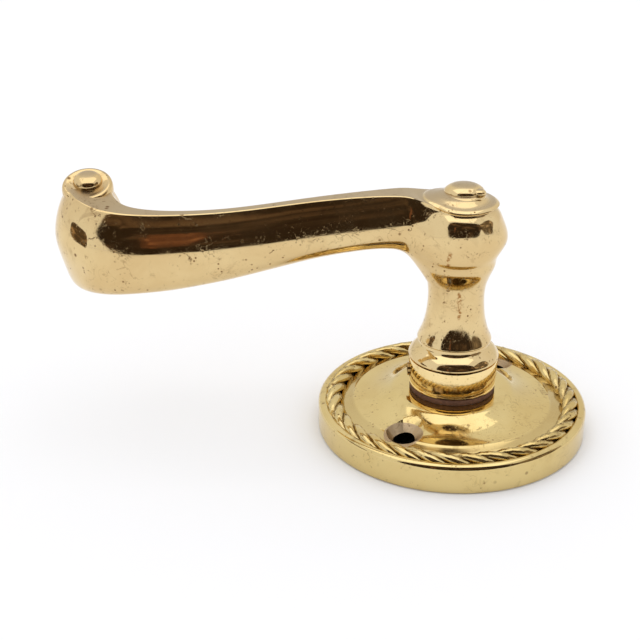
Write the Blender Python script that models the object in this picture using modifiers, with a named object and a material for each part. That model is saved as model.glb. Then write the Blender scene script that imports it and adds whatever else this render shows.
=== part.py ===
"""Brass scroll lever handle on a round rope-edged rose.

The rose lies with its back face on Z = 0, the spindle axis is the Z axis, and the lever points
along -X.  The collar, the lever and the pieces keyed on its shank turn about the Z axis.
"""

import math

import bmesh
import bpy
import numpy as np

MM = 0.001
CLEARANCE = 0.3 * MM

# Rose
ROSE_RADIUS = 29.0 * MM
ROSE_WALL = 1.8 * MM
ROSE_WALL_TOP = 5.1 * MM
SHOULDER_RADIUS = 1.15 * MM
ROPE_CENTRE_RADIUS = 25.7 * MM
ROPE_THICKNESS = 3.5 * MM
ROPE_CENTRE_HEIGHT = 5.75 * MM
DISH_EDGE_RADIUS = 21.15 * MM
DISH_EDGE_HEIGHT = 6.5 * MM
DISH_INNER_RADIUS = 12.6 * MM
ROSE_TOP = 9.1 * MM
ROSE_PLATE = 1.6 * MM
ROSE_BORE_RADIUS = 9.0 * MM

# Wood screw holes in the rose
SCREW_HOLE_CIRCLE = 19.8 * MM
SCREW_HOLE_RADIUS = 1.75 * MM
COUNTERSINK_RADIUS = 4.05 * MM
COUNTERSINK_TOP = 6.75 * MM
SCREW_HOLE_ANGLES = (math.radians(-125.0), math.radians(55.0))

# Shank, socket and the pieces stacked on the shank
SHANK_RADIUS = 7.5 * MM
SHANK_END = 0.6 * MM
SOCKET_WIDTH = 8.1 * MM
SOCKET_TOP = 18.0 * MM
RUNNING_RADIUS = SHANK_RADIUS + CLEARANCE
CIRCLIP_HEIGHT = 1.3 * MM
CIRCLIP_THICKNESS = 1.0 * MM
CIRCLIP_GROOVE_RADIUS = 6.7 * MM
FLAT_DISTANCE = 6.9 * MM

COLLAR_RADIUS = 9.55 * MM
COLLAR_BOTTOM = 10.45 * MM
COLLAR_TOP = 16.7 * MM
FIBRE_BOTTOM = 9.4 * MM
FIBRE_TOP = 10.15 * MM
FIBRE_RADIUS = 9.35 * MM

GRUB_HEIGHT = 13.3 * MM
GRUB_RADIUS = 1.45 * MM
GRUB_SOCKET_RADIUS = 0.8 * MM

# Washers on the shank: outer radius, bottom and top
THRUST_WASHER = (10.6 * MM, 5.8 * MM, 6.3 * MM)
RETAINING_WASHER = (10.3 * MM, 2.7 * MM, 3.25 * MM)
WAVE_WASHER = (10.3 * MM, 3.72 * MM, 4.0 * MM)
WAVE_HEIGHT = 0.18 * MM
CIRCLIP_RADIUS = 9.3 * MM
CIRCLIP_GAP = 3.4 * MM
BUSH_FLANGE_RADIUS = 11.0 * MM
BUSH_FLANGE = 0.6 * MM
GRUB_LENGTH = 4.9 * MM
GRUB_PROUD = 0.25 * MM
COLLAR_EDGE = 0.25 * MM

# Backing plate and what it carries
PLATE_BOTTOM = 0.5 * MM
PLATE_TOP = 1.7 * MM
PLATE_RADIUS = 26.8 * MM
PLATE_OPENING = 11.0 * MM
BOSS_CIRCLE = 23.2 * MM
BOSS_RADIUS = 2.3 * MM
BOSS_ANGLES = tuple(math.radians(a) for a in (-35.0, 85.0, 205.0))
SMALL_SCREW_RADIUS = 1.0 * MM
SMALL_SCREW_HEAD = 2.0 * MM
SMALL_SCREW_LENGTH = 4.2 * MM

# Return spring, drive plate and stops
SPRING_RADIUS = 13.3 * MM
SPRING_WIRE = 1.0 * MM
SPRING_BOTTOM = 2.5 * MM
SPRING_RISE = 1.15 * MM
SPRING_TURNS_STEPS = 44
SPRING_LEG = 4.2 * MM
DRIVE_BOTTOM = 4.5 * MM
DRIVE_TOP = 5.5 * MM
DRIVE_RADIUS = 11.2 * MM
DRIVE_TAB_REACH = 15.5 * MM
DRIVE_TAB_WIDTH = 4.0 * MM
TAB_ANGLE = math.radians(90.0)
LEVER_TRAVEL = math.radians(40.0)
STOP_CIRCLE = 15.2 * MM
STOP_RADIUS = 1.0 * MM
STOP_TOP = 5.55 * MM
POST_CIRCLE = 16.0 * MM
POST_ANGLE = math.radians(-60.0)

# Lever: each station of the grip is x, y, top, depth, belly (half width), ridge (half width),
# how far below the top the section is widest, and how square its underside is (2 is round);
# lengths in millimetres, from the head to the tip.
GRIP_STATIONS = (
    (-2.0, 1.2, 52.8, 17.6, 5.0, 3.2, 5.2, 2.0),
    (-8.0, 1.2, 53.4, 15.0, 5.0, 3.0, 5.2, 2.0),
    (-13.0, 0.9, 53.5, 12.4, 4.8, 2.4, 5.2, 2.0),
    (-21.0, 0.2, 53.2, 11.8, 4.8, 1.4, 5.6, 2.0),
    (-32.0, -0.7, 52.2, 12.3, 4.9, 1.0, 6.2, 2.0),
    (-42.0, -1.4, 50.9, 13.9, 5.0, 0.9, 6.7, 2.1),
    (-52.0, -1.7, 50.0, 15.4, 5.3, 0.9, 7.0, 2.2),
    (-60.0, -1.6, 49.7, 16.6, 5.8, 1.1, 7.2, 2.5),
    (-67.0, -0.6, 49.8, 17.7, 6.4, 2.4, 7.6, 2.9),
    (-72.4, 1.5, 50.4, 18.9, 6.9, 3.6, 8.2, 3.6),
    (-76.3, 4.8, 51.4, 20.2, 7.6, 4.4, 8.4, 4.3),
    (-77.5, 9.0, 52.2, 21.1, 7.6, 4.2, 8.6, 4.3),
)
GRIP_RINGS = 30
SLANT_PER_SQUARE = 0.35
NARROWING_PER_SQUARE = 0.12
GRIP_END_ROUNDING = 3.4 * MM

HEAD_PROFILE = (
    (0.0, 55.4), (2.2, 55.3), (3.7, 54.8), (4.4, 54.0), (4.6, 53.2), (5.8, 52.7), (7.3, 52.3),
    (7.8, 51.8), (7.9, 51.2), (7.6, 50.6), (8.4, 49.2), (9.3, 47.3), (10.0, 45.2), (10.1, 43.6),
    (9.6, 42.0), (8.7, 40.3), (8.0, 38.6), (7.2, 36.4), (6.4, 34.4), (5.95, 32.6), (5.9, 30.5),
    (6.0, 28.0), (6.25, 26.2), (6.55, 24.6), (6.95, 23.2), (7.35, 22.1), (7.7, 21.2),
    (7.4, 20.7), (7.25, 20.1), (7.6, 19.4), (8.3, 19.0), (8.95, 18.5), (9.4, 17.9),
    (9.65, 17.4), (9.65, 17.0),
)
TIP_SCROLL_CENTRE = (-77.2, 8.0)
TIP_SCROLL_PROFILE = (
    (0.0, 55.5), (2.0, 55.4), (3.1, 54.9), (3.5, 54.1), (3.7, 53.5), (4.5, 53.1), (5.0, 52.4),
    (5.1, 51.4), (4.8, 46.0), (0.0, 44.0),
)

# Colours of the materials: red, green, blue
BRASS = (0.76, 0.56, 0.24)
DARK_BRASS = (0.55, 0.38, 0.15)
FIBRE_BROWN = (0.10, 0.05, 0.03)
STEEL = (0.55, 0.55, 0.54)
SPRING_STEEL = (0.30, 0.30, 0.31)
NYLON = (0.82, 0.80, 0.74)
BLACK_STEEL = (0.08, 0.08, 0.09)


def clear_scene():
    """Remove whatever the scene holds."""
    for obj in list(bpy.data.objects):
        bpy.data.objects.remove(obj, do_unlink=True)


def collection(name):
    """Make a collection under the scene's own."""
    made = bpy.data.collections.new(name)
    bpy.context.scene.collection.children.link(made)
    return made


def material(name, colour, metallic, roughness):
    """Make a plain Principled material."""
    made = bpy.data.materials.new(name)
    made.use_nodes = True
    shader = made.node_tree.nodes["Principled BSDF"]
    shader.inputs["Base Color"].default_value = (*colour, 1.0)
    shader.inputs["Metallic"].default_value = metallic
    shader.inputs["Roughness"].default_value = roughness
    return made


def add_object(name, data, home, finish=None):
    """Put mesh or curve data into the scene as a named object."""
    obj = bpy.data.objects.new(name, data)
    home.objects.link(obj)
    if finish is not None:
        data.materials.append(finish)
    return obj


def arc(centre_r, centre_z, radius, start, end, count):
    """Points along an arc in the (radius, height) plane; angles in degrees."""
    angles = np.radians(np.linspace(start, end, count))
    return [(centre_r + radius * math.cos(a), centre_z + radius * math.sin(a)) for a in angles]


def turned(name, profile, home, finish=None, steps=48, closed=False):
    """Turn a profile of (radius, height) points, running down its outer side, about Z."""
    mesh = bpy.data.meshes.new(name)
    points = [(r, 0.0, z) for r, z in profile]
    edges = [(i, i + 1) for i in range(len(points) - 1)]
    if closed:
        edges.append((len(points) - 1, 0))
    mesh.from_pydata(points, edges, [])
    obj = add_object(name, mesh, home, finish)
    screw = obj.modifiers.new("turn", "SCREW")
    screw.axis = "Z"
    screw.angle = math.tau
    screw.steps = steps
    screw.render_steps = steps
    screw.use_merge_vertices = True
    screw.merge_threshold = 0.00001
    screw.use_normal_calculate = False
    screw.use_smooth_shade = True
    return obj


def ring(name, inner, outer, bottom, top, home, finish, steps=40):
    """A flat washer or sleeve."""
    profile = [(inner, top), (outer, top), (outer, bottom), (inner, bottom)]
    return turned(name, profile, home, finish, steps, closed=True)


def box(name, size, centre, angle, home):
    """A box of a given size, turned about Z by an angle."""
    mesh = bpy.data.meshes.new(name)
    shape = bmesh.new()
    bmesh.ops.create_cube(shape, size=1.0)
    bmesh.ops.scale(shape, vec=size, verts=shape.verts)
    shape.to_mesh(mesh)
    shape.free()
    obj = add_object(name, mesh, home)
    obj.location = centre
    obj.rotation_euler = (0.0, 0.0, angle)
    return obj


def cylinder(name, radius, bottom, top, place, home, finish=None, sides=20):
    """An upright cylinder standing at a place in plan."""
    mesh = bpy.data.meshes.new(name)
    shape = bmesh.new()
    bmesh.ops.create_cone(
        shape, cap_ends=True, segments=sides, radius1=radius, radius2=radius, depth=top - bottom
    )
    shape.to_mesh(mesh)
    shape.free()
    obj = add_object(name, mesh, home, finish)
    obj.location = (place[0], place[1], (bottom + top) / 2.0)
    return obj


def polar(radius, angle):
    """A place in plan from its radius and angle."""
    return (radius * math.cos(angle), radius * math.sin(angle))


def combine(target, tool, operation):
    """Join a tool object to a target, or cut it away."""
    tool.hide_render = True
    tool.display_type = "WIRE"
    boolean = target.modifiers.new(tool.name, "BOOLEAN")
    boolean.operation = operation
    boolean.solver = "EXACT"
    boolean.object = tool


def dish_height(radius):
    """Height of the dish's hollow curve between its rim and the flat at its centre."""
    share = (DISH_EDGE_RADIUS - radius) / (DISH_EDGE_RADIUS - DISH_INNER_RADIUS)
    return DISH_EDGE_HEIGHT + (ROSE_TOP - DISH_EDGE_HEIGHT) * max(0.0, share) ** 2.2


def rose_profile():
    """Outer side of the rose from the bore outwards and down, then back under the plate."""
    step_base = (ROPE_CENTRE_RADIUS - ROPE_THICKNESS / 2.0, ROPE_CENTRE_HEIGHT - 0.2 * MM)
    rope = arc(ROPE_CENTRE_RADIUS, ROPE_CENTRE_HEIGHT, ROPE_THICKNESS / 2.0, 170.0, 25.0, 9)
    shoulder = arc(
        ROSE_RADIUS - SHOULDER_RADIUS, ROSE_WALL_TOP, SHOULDER_RADIUS, 105.0, 0.0, 6
    )
    dish = [
        (radius, dish_height(radius))
        for radius in np.linspace(DISH_INNER_RADIUS, DISH_EDGE_RADIUS, 7)
    ]
    outside = [(ROSE_BORE_RADIUS, ROSE_TOP)]
    outside += dish
    outside += [(DISH_EDGE_RADIUS + 1.3 * MM, DISH_EDGE_HEIGHT - 0.45 * MM), step_base]
    outside += rope
    outside += shoulder
    outside += [(ROSE_RADIUS, 0.4 * MM)]
    outside += [(ROSE_RADIUS - 0.3 * MM, 0.0)]
    inner_wall = ROSE_RADIUS - ROSE_WALL
    inside = [(inner_wall, 0.0), (inner_wall, ROPE_CENTRE_HEIGHT - 2.0 * MM)]
    inside += [(step_base[0] + 1.0 * MM, DISH_EDGE_HEIGHT - ROSE_PLATE - 0.8 * MM)]
    inside += [(radius, height - ROSE_PLATE) for radius, height in reversed(dish)]
    inside += [(ROSE_BORE_RADIUS, ROSE_TOP - ROSE_PLATE)]
    return outside + inside


def build_rose(home, tools, finish):
    """Hollow rose with its rope border, dish, two countersunk holes and three inner bosses."""
    rose = turned("rose_shell", rose_profile(), home, finish, steps=56, closed=True)
    for index, angle in enumerate(BOSS_ANGLES):
        boss = cylinder(
            f"boss_{index}", BOSS_RADIUS, PLATE_TOP + CLEARANCE, ROPE_CENTRE_HEIGHT - 1.2 * MM,
            polar(BOSS_CIRCLE, angle), tools,
        )
        combine(rose, boss, "UNION")
        thread = cylinder(
            f"boss_hole_{index}", SMALL_SCREW_RADIUS + CLEARANCE, 0.0, PLATE_BOTTOM
            + SMALL_SCREW_LENGTH + CLEARANCE, polar(BOSS_CIRCLE, angle), tools, sides=14,
        )
        combine(rose, thread, "DIFFERENCE")
    hole_profile = [
        (0.0, COUNTERSINK_TOP + 2.0 * MM),
        (COUNTERSINK_RADIUS + 2.0 * MM, COUNTERSINK_TOP + 2.0 * MM),
        (SCREW_HOLE_RADIUS, COUNTERSINK_TOP - COUNTERSINK_RADIUS + SCREW_HOLE_RADIUS),
        (SCREW_HOLE_RADIUS, -1.0 * MM),
        (0.0, -1.0 * MM),
    ]
    for index, angle in enumerate(SCREW_HOLE_ANGLES):
        hole = turned(f"screw_hole_{index}", hole_profile, tools, steps=24)
        hole.location = (*polar(SCREW_HOLE_CIRCLE, angle), 0.0)
        combine(rose, hole, "DIFFERENCE")
    return rose


def grip_section(depth, belly, ridge, widest, square):
    """Outline of the grip's section as (out, height) points, starting at its ridge's front edge.

    The ridge is flat, the flanks slope and swell down to the belly, and the underside curves in.
    """
    slant = min(1.0, SLANT_PER_SQUARE * (square - 2.0))
    flank = []
    for a in np.radians((0.0, 32.0, 54.0, 73.0, 90.0)):
        drop = 1.0 - math.cos(a)
        swell = (1.0 - slant) * math.sin(a) + slant * drop
        flank.append((ridge + (belly - ridge) * swell, -widest * drop))
    narrowing = NARROWING_PER_SQUARE * (square - 2.0)
    under = []
    for a in np.radians((25.0, 48.0, 70.0, 90.0)):
        share = math.sin(a) ** (2.0 / square)
        out = belly * max(math.cos(a), 0.0) ** (2.0 / square) * (1.0 - narrowing * share)
        under.append((out, -widest - (depth - widest) * share))
    front = flank + under
    back = [(-out, height) for out, height in reversed(front[:-1])]
    return front + back


def station_at(share):
    """Catmull-Rom reading of the grip's stations; share runs from 0 at the head to 1 at the tip."""
    table = np.array(GRIP_STATIONS) * ((MM,) * 7 + (1.0,))
    spot = share * (len(table) - 1)
    index = min(int(spot), len(table) - 2)
    t = spot - index
    last = len(table) - 1
    before, start, end, after = (table[min(max(index + k, 0), last)] for k in (-1, 0, 1, 2))
    return 0.5 * (
        2.0 * start + (end - before) * t + (2.0 * before - 5.0 * start + 4.0 * end - after) * t**2
        + (3.0 * start - before - 3.0 * end + after) * t**3
    )


def build_grip(tools):
    """Loft the grip along its curved line; its far end is rounded over and closed."""
    shape = bmesh.new()
    rings = []
    places = [station_at(share)[:2] for share in np.linspace(0.0, 1.0, GRIP_RINGS)]
    frames = []
    for index, share in enumerate(np.linspace(0.0, 1.0, GRIP_RINGS)):
        ahead = places[min(index + 1, GRIP_RINGS - 1)] - places[max(index - 1, 0)]
        ahead /= np.linalg.norm(ahead)
        frames.append((station_at(share), ahead))
    last, ahead = frames[-1]
    for angle in np.radians((35.0, 60.0, 80.0)):
        station = last.copy()
        station[:2] += ahead * GRIP_END_ROUNDING * math.sin(angle)
        shrink = 0.35 + 0.65 * math.cos(angle)
        station[2] -= last[3] * (1.0 - shrink) * 0.25
        station[3:7] *= shrink
        frames.append((station, ahead))
    for station, ahead in frames:
        x, y, top, depth, belly, ridge, widest, square = station
        outward = np.array((-ahead[1], ahead[0]))
        outline = grip_section(depth, belly, ridge, widest, square)
        rings.append([
            shape.verts.new((x + outward[0] * out, y + outward[1] * out, top + height))
            for out, height in outline
        ])
    count = len(rings[0])
    for near, far in zip(rings, rings[1:]):
        for i in range(count):
            j = (i + 1) % count
            shape.faces.new((near[i], near[j], far[j], far[i]))
    shape.faces.new(rings[0][::-1])
    shape.faces.new(rings[-1])
    bmesh.ops.recalc_face_normals(shape, faces=shape.faces)
    mesh = bpy.data.meshes.new("grip")
    shape.to_mesh(mesh)
    shape.free()
    return add_object("grip", mesh, tools)


def build_lever(home, tools, finish):
    """The lever casting: head, neck, foot and shank turned as one, with the grip and its scroll."""
    groove_top = CIRCLIP_HEIGHT + CIRCLIP_THICKNESS + 0.1 * MM
    groove_bottom = CIRCLIP_HEIGHT - 0.1 * MM
    profile = [(r * MM, z * MM) for r, z in HEAD_PROFILE]
    profile += [
        (SHANK_RADIUS, 17.0 * MM), (SHANK_RADIUS, groove_top), (CIRCLIP_GROOVE_RADIUS, groove_top),
        (CIRCLIP_GROOVE_RADIUS, groove_bottom), (SHANK_RADIUS, groove_bottom),
        (SHANK_RADIUS, SHANK_END), (0.0, SHANK_END),
    ]
    lever = turned("lever_casting", profile, home, finish, steps=40)
    combine(lever, build_grip(tools), "UNION")
    scroll = turned(
        "tip_scroll", [(r * MM, z * MM) for r, z in TIP_SCROLL_PROFILE], tools, steps=24
    )
    scroll.location = (TIP_SCROLL_CENTRE[0] * MM, TIP_SCROLL_CENTRE[1] * MM, 0.0)
    combine(lever, scroll, "UNION")
    socket_depth = SOCKET_TOP - SHANK_END + 1.0 * MM
    socket = box(
        "spindle_socket", (SOCKET_WIDTH, SOCKET_WIDTH, socket_depth),
        (0.0, 0.0, SOCKET_TOP - socket_depth / 2.0), 0.0, tools,
    )
    combine(lever, socket, "DIFFERENCE")
    for side in (-1, 1):
        flat = box(
            f"shank_flat_{side}", (4.0 * MM, 20.0 * MM, DRIVE_TOP - DRIVE_BOTTOM + 0.6 * MM),
            (side * (FLAT_DISTANCE + 2.0 * MM), 0.0, (DRIVE_TOP + DRIVE_BOTTOM) / 2.0), 0.0, tools,
        )
        combine(lever, flat, "DIFFERENCE")
    combine(lever, grub_cutter("grub_hole_in_shank", GRUB_RADIUS + CLEARANCE, tools), "DIFFERENCE")
    return lever


def grub_cutter(name, radius, tools):
    """A cylinder along -X for the grub screw's hole."""
    cutter = cylinder(name, radius, 3.0 * MM, 12.0 * MM, (0.0, 0.0), tools, sides=18)
    cutter.location = (-7.5 * MM, 0.0, GRUB_HEIGHT)
    cutter.rotation_euler = (0.0, math.radians(90.0), 0.0)
    return cutter


def build_collar(home, tools, finish):
    """Turned collar with softened edges and the grub screw's hole."""
    profile = [
        (RUNNING_RADIUS, COLLAR_TOP), (COLLAR_RADIUS - COLLAR_EDGE, COLLAR_TOP),
        (COLLAR_RADIUS, COLLAR_TOP - COLLAR_EDGE), (COLLAR_RADIUS, COLLAR_BOTTOM + COLLAR_EDGE),
        (COLLAR_RADIUS - COLLAR_EDGE, COLLAR_BOTTOM), (RUNNING_RADIUS, COLLAR_BOTTOM),
    ]
    collar = turned("shank_collar", profile, home, finish, steps=48, closed=True)
    combine(collar, grub_cutter("grub_hole_in_collar", GRUB_RADIUS + CLEARANCE, tools), "DIFFERENCE")
    return collar


def build_grub_screw(home, tools, finish):
    """Socket set screw in the collar's left side."""
    half = GRUB_LENGTH / 2.0
    outer_end = -COLLAR_RADIUS - GRUB_PROUD
    screw = cylinder("collar_grub_screw", GRUB_RADIUS, -half, half, (0.0, 0.0), home, finish, 18)
    screw.location = (outer_end + half, 0.0, GRUB_HEIGHT)
    screw.rotation_euler = (0.0, math.radians(90.0), 0.0)
    key = cylinder("grub_key_socket", GRUB_SOCKET_RADIUS, -1.0 * MM, 1.0 * MM, (0, 0), tools, sides=6)
    key.location = (outer_end, 0.0, GRUB_HEIGHT)
    key.rotation_euler = (0.0, math.radians(90.0), 0.0)
    combine(screw, key, "DIFFERENCE")
    return screw


def build_bush(home, finish):
    """Flanged bearing bush in the rose's centre hole."""
    outer = ROSE_BORE_RADIUS - CLEARANCE
    flange_top = ROSE_TOP - ROSE_PLATE - CLEARANCE
    profile = [
        (RUNNING_RADIUS, ROSE_TOP), (outer, ROSE_TOP), (outer, flange_top),
        (BUSH_FLANGE_RADIUS, flange_top), (BUSH_FLANGE_RADIUS, flange_top - BUSH_FLANGE),
        (RUNNING_RADIUS, flange_top - BUSH_FLANGE),
    ]
    return turned("bearing_bush", profile, home, finish, steps=40, closed=True)


def build_drive_plate(home, tools, finish):
    """Plate keyed on the shank's flats, with the tab that winds the spring."""
    plate = cylinder("drive_plate", DRIVE_RADIUS, DRIVE_BOTTOM, DRIVE_TOP, (0, 0), home, finish, 40)
    reach = DRIVE_TAB_REACH - DRIVE_RADIUS / 2.0
    tab = box(
        "drive_tab", (reach, DRIVE_TAB_WIDTH, DRIVE_TOP - DRIVE_BOTTOM),
        (*polar(DRIVE_TAB_REACH - reach / 2.0, TAB_ANGLE), (DRIVE_TOP + DRIVE_BOTTOM) / 2.0),
        TAB_ANGLE, tools,
    )
    combine(plate, tab, "UNION")
    bore = cylinder(
        "drive_bore", RUNNING_RADIUS, DRIVE_BOTTOM - MM, DRIVE_TOP + MM, (0, 0), tools, sides=32
    )
    for side in (-1, 1):
        flat = box(
            f"drive_flat_{side}", (4.0 * MM, 20.0 * MM, 6.0 * MM),
            (side * (FLAT_DISTANCE + CLEARANCE + 2.0 * MM), 0.0, (DRIVE_TOP + DRIVE_BOTTOM) / 2.0),
            0.0, tools,
        )
        combine(bore, flat, "DIFFERENCE")
    combine(plate, bore, "DIFFERENCE")
    return plate


def build_wave_washer(home, finish):
    """Thin washer with three waves."""
    washer = ring("wave_washer", RUNNING_RADIUS, *WAVE_WASHER, home, finish, 36)
    graph = bpy.context.evaluated_depsgraph_get()
    mesh = bpy.data.meshes.new_from_object(washer.evaluated_get(graph))
    for vertex in mesh.vertices:
        angle = math.atan2(vertex.co.y, vertex.co.x)
        vertex.co.z += WAVE_HEIGHT * math.cos(3.0 * angle)
    washer.modifiers.clear()
    washer.data = mesh
    return washer


def build_circlip(home, tools, finish):
    """Open retaining ring in the shank's groove, with its gap to the front."""
    clip = ring(
        "circlip", CIRCLIP_GROOVE_RADIUS + CLEARANCE, CIRCLIP_RADIUS, CIRCLIP_HEIGHT + 0.15 * MM,
        CIRCLIP_HEIGHT + CIRCLIP_THICKNESS - 0.15 * MM, home, finish, 40,
    )
    gap = box(
        "circlip_gap", (CIRCLIP_GAP, 8.0 * MM, 4.0 * MM), (0.0, -8.0 * MM, CIRCLIP_HEIGHT), 0.0, tools
    )
    combine(clip, gap, "DIFFERENCE")
    return clip


def build_spring(home, finish):
    """Torsion spring: two turns, one leg up behind the tab, the other out to the anchor post."""
    tab_side = (DRIVE_TAB_WIDTH / 2.0 + SPRING_WIRE / 2.0 + CLEARANCE) / SPRING_RADIUS
    start = TAB_ANGLE - tab_side
    end = POST_ANGLE + math.radians(7.0) - math.tau
    turns = start - end
    steps = SPRING_TURNS_STEPS
    top = SPRING_BOTTOM + SPRING_RISE
    points = [(*polar(SPRING_RADIUS, start), DRIVE_TOP - 0.1 * MM)]
    for index in range(steps + 1):
        share = index / steps
        points.append((
            *polar(SPRING_RADIUS, start - turns * share), top - SPRING_RISE * share
        ))
    points.append((*polar(SPRING_RADIUS + SPRING_LEG, end - math.radians(1.0)), SPRING_BOTTOM))
    curve = bpy.data.curves.new("return_spring", "CURVE")
    curve.dimensions = "3D"
    curve.bevel_depth = SPRING_WIRE / 2.0
    curve.bevel_resolution = 2
    curve.use_fill_caps = True
    line = curve.splines.new("POLY")
    line.points.add(len(points) - 1)
    for spot, place in zip(line.points, points):
        spot.co = (*place, 1.0)
    return add_object("return_spring", curve, home, finish)


def build_backing_plate(home, tools, finish):
    """Steel plate that closes the rose's back, with its openings and countersinks."""
    plate = ring("backing_plate", PLATE_OPENING, PLATE_RADIUS, PLATE_BOTTOM, PLATE_TOP, home, finish, 56)
    for index, angle in enumerate(SCREW_HOLE_ANGLES):
        hole = cylinder(
            f"plate_screw_hole_{index}", SCREW_HOLE_RADIUS + 0.6 * MM, 0.0, 3.0 * MM,
            polar(SCREW_HOLE_CIRCLE, angle), tools,
        )
        combine(plate, hole, "DIFFERENCE")
    seat = [
        (0.0, PLATE_TOP + MM), (SMALL_SCREW_RADIUS + CLEARANCE, PLATE_TOP + MM),
        (SMALL_SCREW_RADIUS + CLEARANCE, PLATE_BOTTOM + 1.1 * MM),
        (SMALL_SCREW_HEAD + CLEARANCE + 0.5 * MM, PLATE_BOTTOM - 0.5 * MM), (0.0, PLATE_BOTTOM - 0.5 * MM),
    ]
    for index, angle in enumerate(BOSS_ANGLES):
        cutter = turned(f"plate_seat_{index}", seat, tools, steps=18)
        cutter.location = (*polar(BOSS_CIRCLE, angle), 0.0)
        combine(plate, cutter, "DIFFERENCE")
    return plate


def build_plate_screws(home, tools, finish):
    """Small countersunk screws that hold the backing plate on the rose's bosses."""
    profile = [
        (0.0, PLATE_BOTTOM + SMALL_SCREW_LENGTH), (SMALL_SCREW_RADIUS, PLATE_BOTTOM + SMALL_SCREW_LENGTH),
        (SMALL_SCREW_RADIUS, PLATE_BOTTOM + 1.0 * MM), (SMALL_SCREW_HEAD, PLATE_BOTTOM),
        (0.0, PLATE_BOTTOM),
    ]
    for index, angle in enumerate(BOSS_ANGLES, start=1):
        screw = turned(f"backing_plate_screw_{index}", profile, home, finish, steps=16)
        screw.location = (*polar(BOSS_CIRCLE, angle), 0.0)
        slot = box(
            f"screw_slot_{index}", (6.0 * MM, 0.5 * MM, 0.8 * MM),
            (*polar(BOSS_CIRCLE, angle), PLATE_BOTTOM), 0.6 * index, tools,
        )
        combine(screw, slot, "DIFFERENCE")


def build_stops(home, finish):
    """The two stop pins and the spring's anchor post, standing on the backing plate."""
    foot = PLATE_TOP + CLEARANCE
    reach = (DRIVE_TAB_WIDTH / 2.0 + STOP_RADIUS + 0.2 * MM) / STOP_CIRCLE
    rest = polar(STOP_CIRCLE, TAB_ANGLE + reach)
    full = polar(STOP_CIRCLE, TAB_ANGLE - LEVER_TRAVEL - reach)
    cylinder("stop_pin_rest", STOP_RADIUS, foot, STOP_TOP, rest, home, finish, 16)
    cylinder("stop_pin_full", STOP_RADIUS, foot, STOP_TOP, full, home, finish, 16)
    post = polar(POST_CIRCLE, POST_ANGLE)
    cylinder("spring_anchor_post", STOP_RADIUS, foot, STOP_TOP - 0.8 * MM, post, home, finish, 16)


def main():
    """Build the handle."""
    clear_scene()
    home = collection("door_lever_handle")
    tools = collection("cutters")
    brass = material("polished_brass", BRASS, 1.0, 0.12)
    dark_brass = material("dark_brass", DARK_BRASS, 1.0, 0.3)
    fibre = material("brown_fibre", FIBRE_BROWN, 0.0, 0.7)
    steel = material("zinc_steel", STEEL, 1.0, 0.4)
    spring_steel = material("spring_steel", SPRING_STEEL, 1.0, 0.35)
    nylon = material("white_nylon", NYLON, 0.0, 0.5)
    black_steel = material("black_steel", BLACK_STEEL, 1.0, 0.4)

    build_rose(home, tools, brass)
    build_lever(home, tools, brass)
    build_collar(home, tools, brass)
    build_grub_screw(home, tools, dark_brass)
    ring("fibre_washer", RUNNING_RADIUS, FIBRE_RADIUS, FIBRE_BOTTOM, FIBRE_TOP, home, fibre, 44)
    build_bush(home, nylon)
    ring("thrust_washer", RUNNING_RADIUS, *THRUST_WASHER, home, steel)
    build_drive_plate(home, tools, steel)
    build_wave_washer(home, spring_steel)
    ring("retaining_washer", RUNNING_RADIUS, *RETAINING_WASHER, home, steel)
    build_circlip(home, tools, black_steel)
    build_spring(home, spring_steel)
    build_backing_plate(home, tools, steel)
    build_plate_screws(home, tools, steel)
    build_stops(home, steel)


main()
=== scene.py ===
"""Brass scroll lever handle on a round rope-edged rose.

The rose's back face lies on Z = 0, the spindle axis is the Z axis, and the lever points along -X.
The pieces that the hand sees and feels are modelled here in full; the fittings inside the rose
keep their own solids and get their finishes here.
"""

import logging
import math
from dataclasses import dataclass, field
from enum import Enum
from typing import Callable, Iterable, Sequence

import bmesh
import bpy
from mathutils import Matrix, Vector


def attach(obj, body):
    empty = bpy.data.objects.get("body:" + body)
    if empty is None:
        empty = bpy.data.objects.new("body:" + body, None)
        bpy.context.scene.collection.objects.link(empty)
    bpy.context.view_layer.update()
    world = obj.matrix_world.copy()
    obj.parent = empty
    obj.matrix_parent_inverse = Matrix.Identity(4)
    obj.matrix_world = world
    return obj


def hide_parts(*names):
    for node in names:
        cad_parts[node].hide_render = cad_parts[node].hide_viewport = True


LOG = logging.getLogger("door_lever_handle")
MM = 0.001
CHAIN_SEAM = 0.001
TURNED_SEAM = 0.0008
ROPE_SEAM = 0.02
GRUB_HEIGHT = 13.3
GRUB_HOLE_RADIUS = 1.75
Point = tuple[float, float]
Place = tuple[float, float, float]
Colour = tuple[float, float, float]
Outline = tuple[Point, ...]


class Body(Enum):
    """The two bodies that pieces ride on."""

    ROSE = "rose"
    LEVER = "lever"


class Slot(Enum):
    """Material slots of the part."""

    POLISHED_BRASS = "polished_brass"
    BROWN_FIBRE = "brown_fibre"


# --------------------------------------------------------------------------------------------
# The bench: edit-mode work on one mesh
# --------------------------------------------------------------------------------------------


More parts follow.
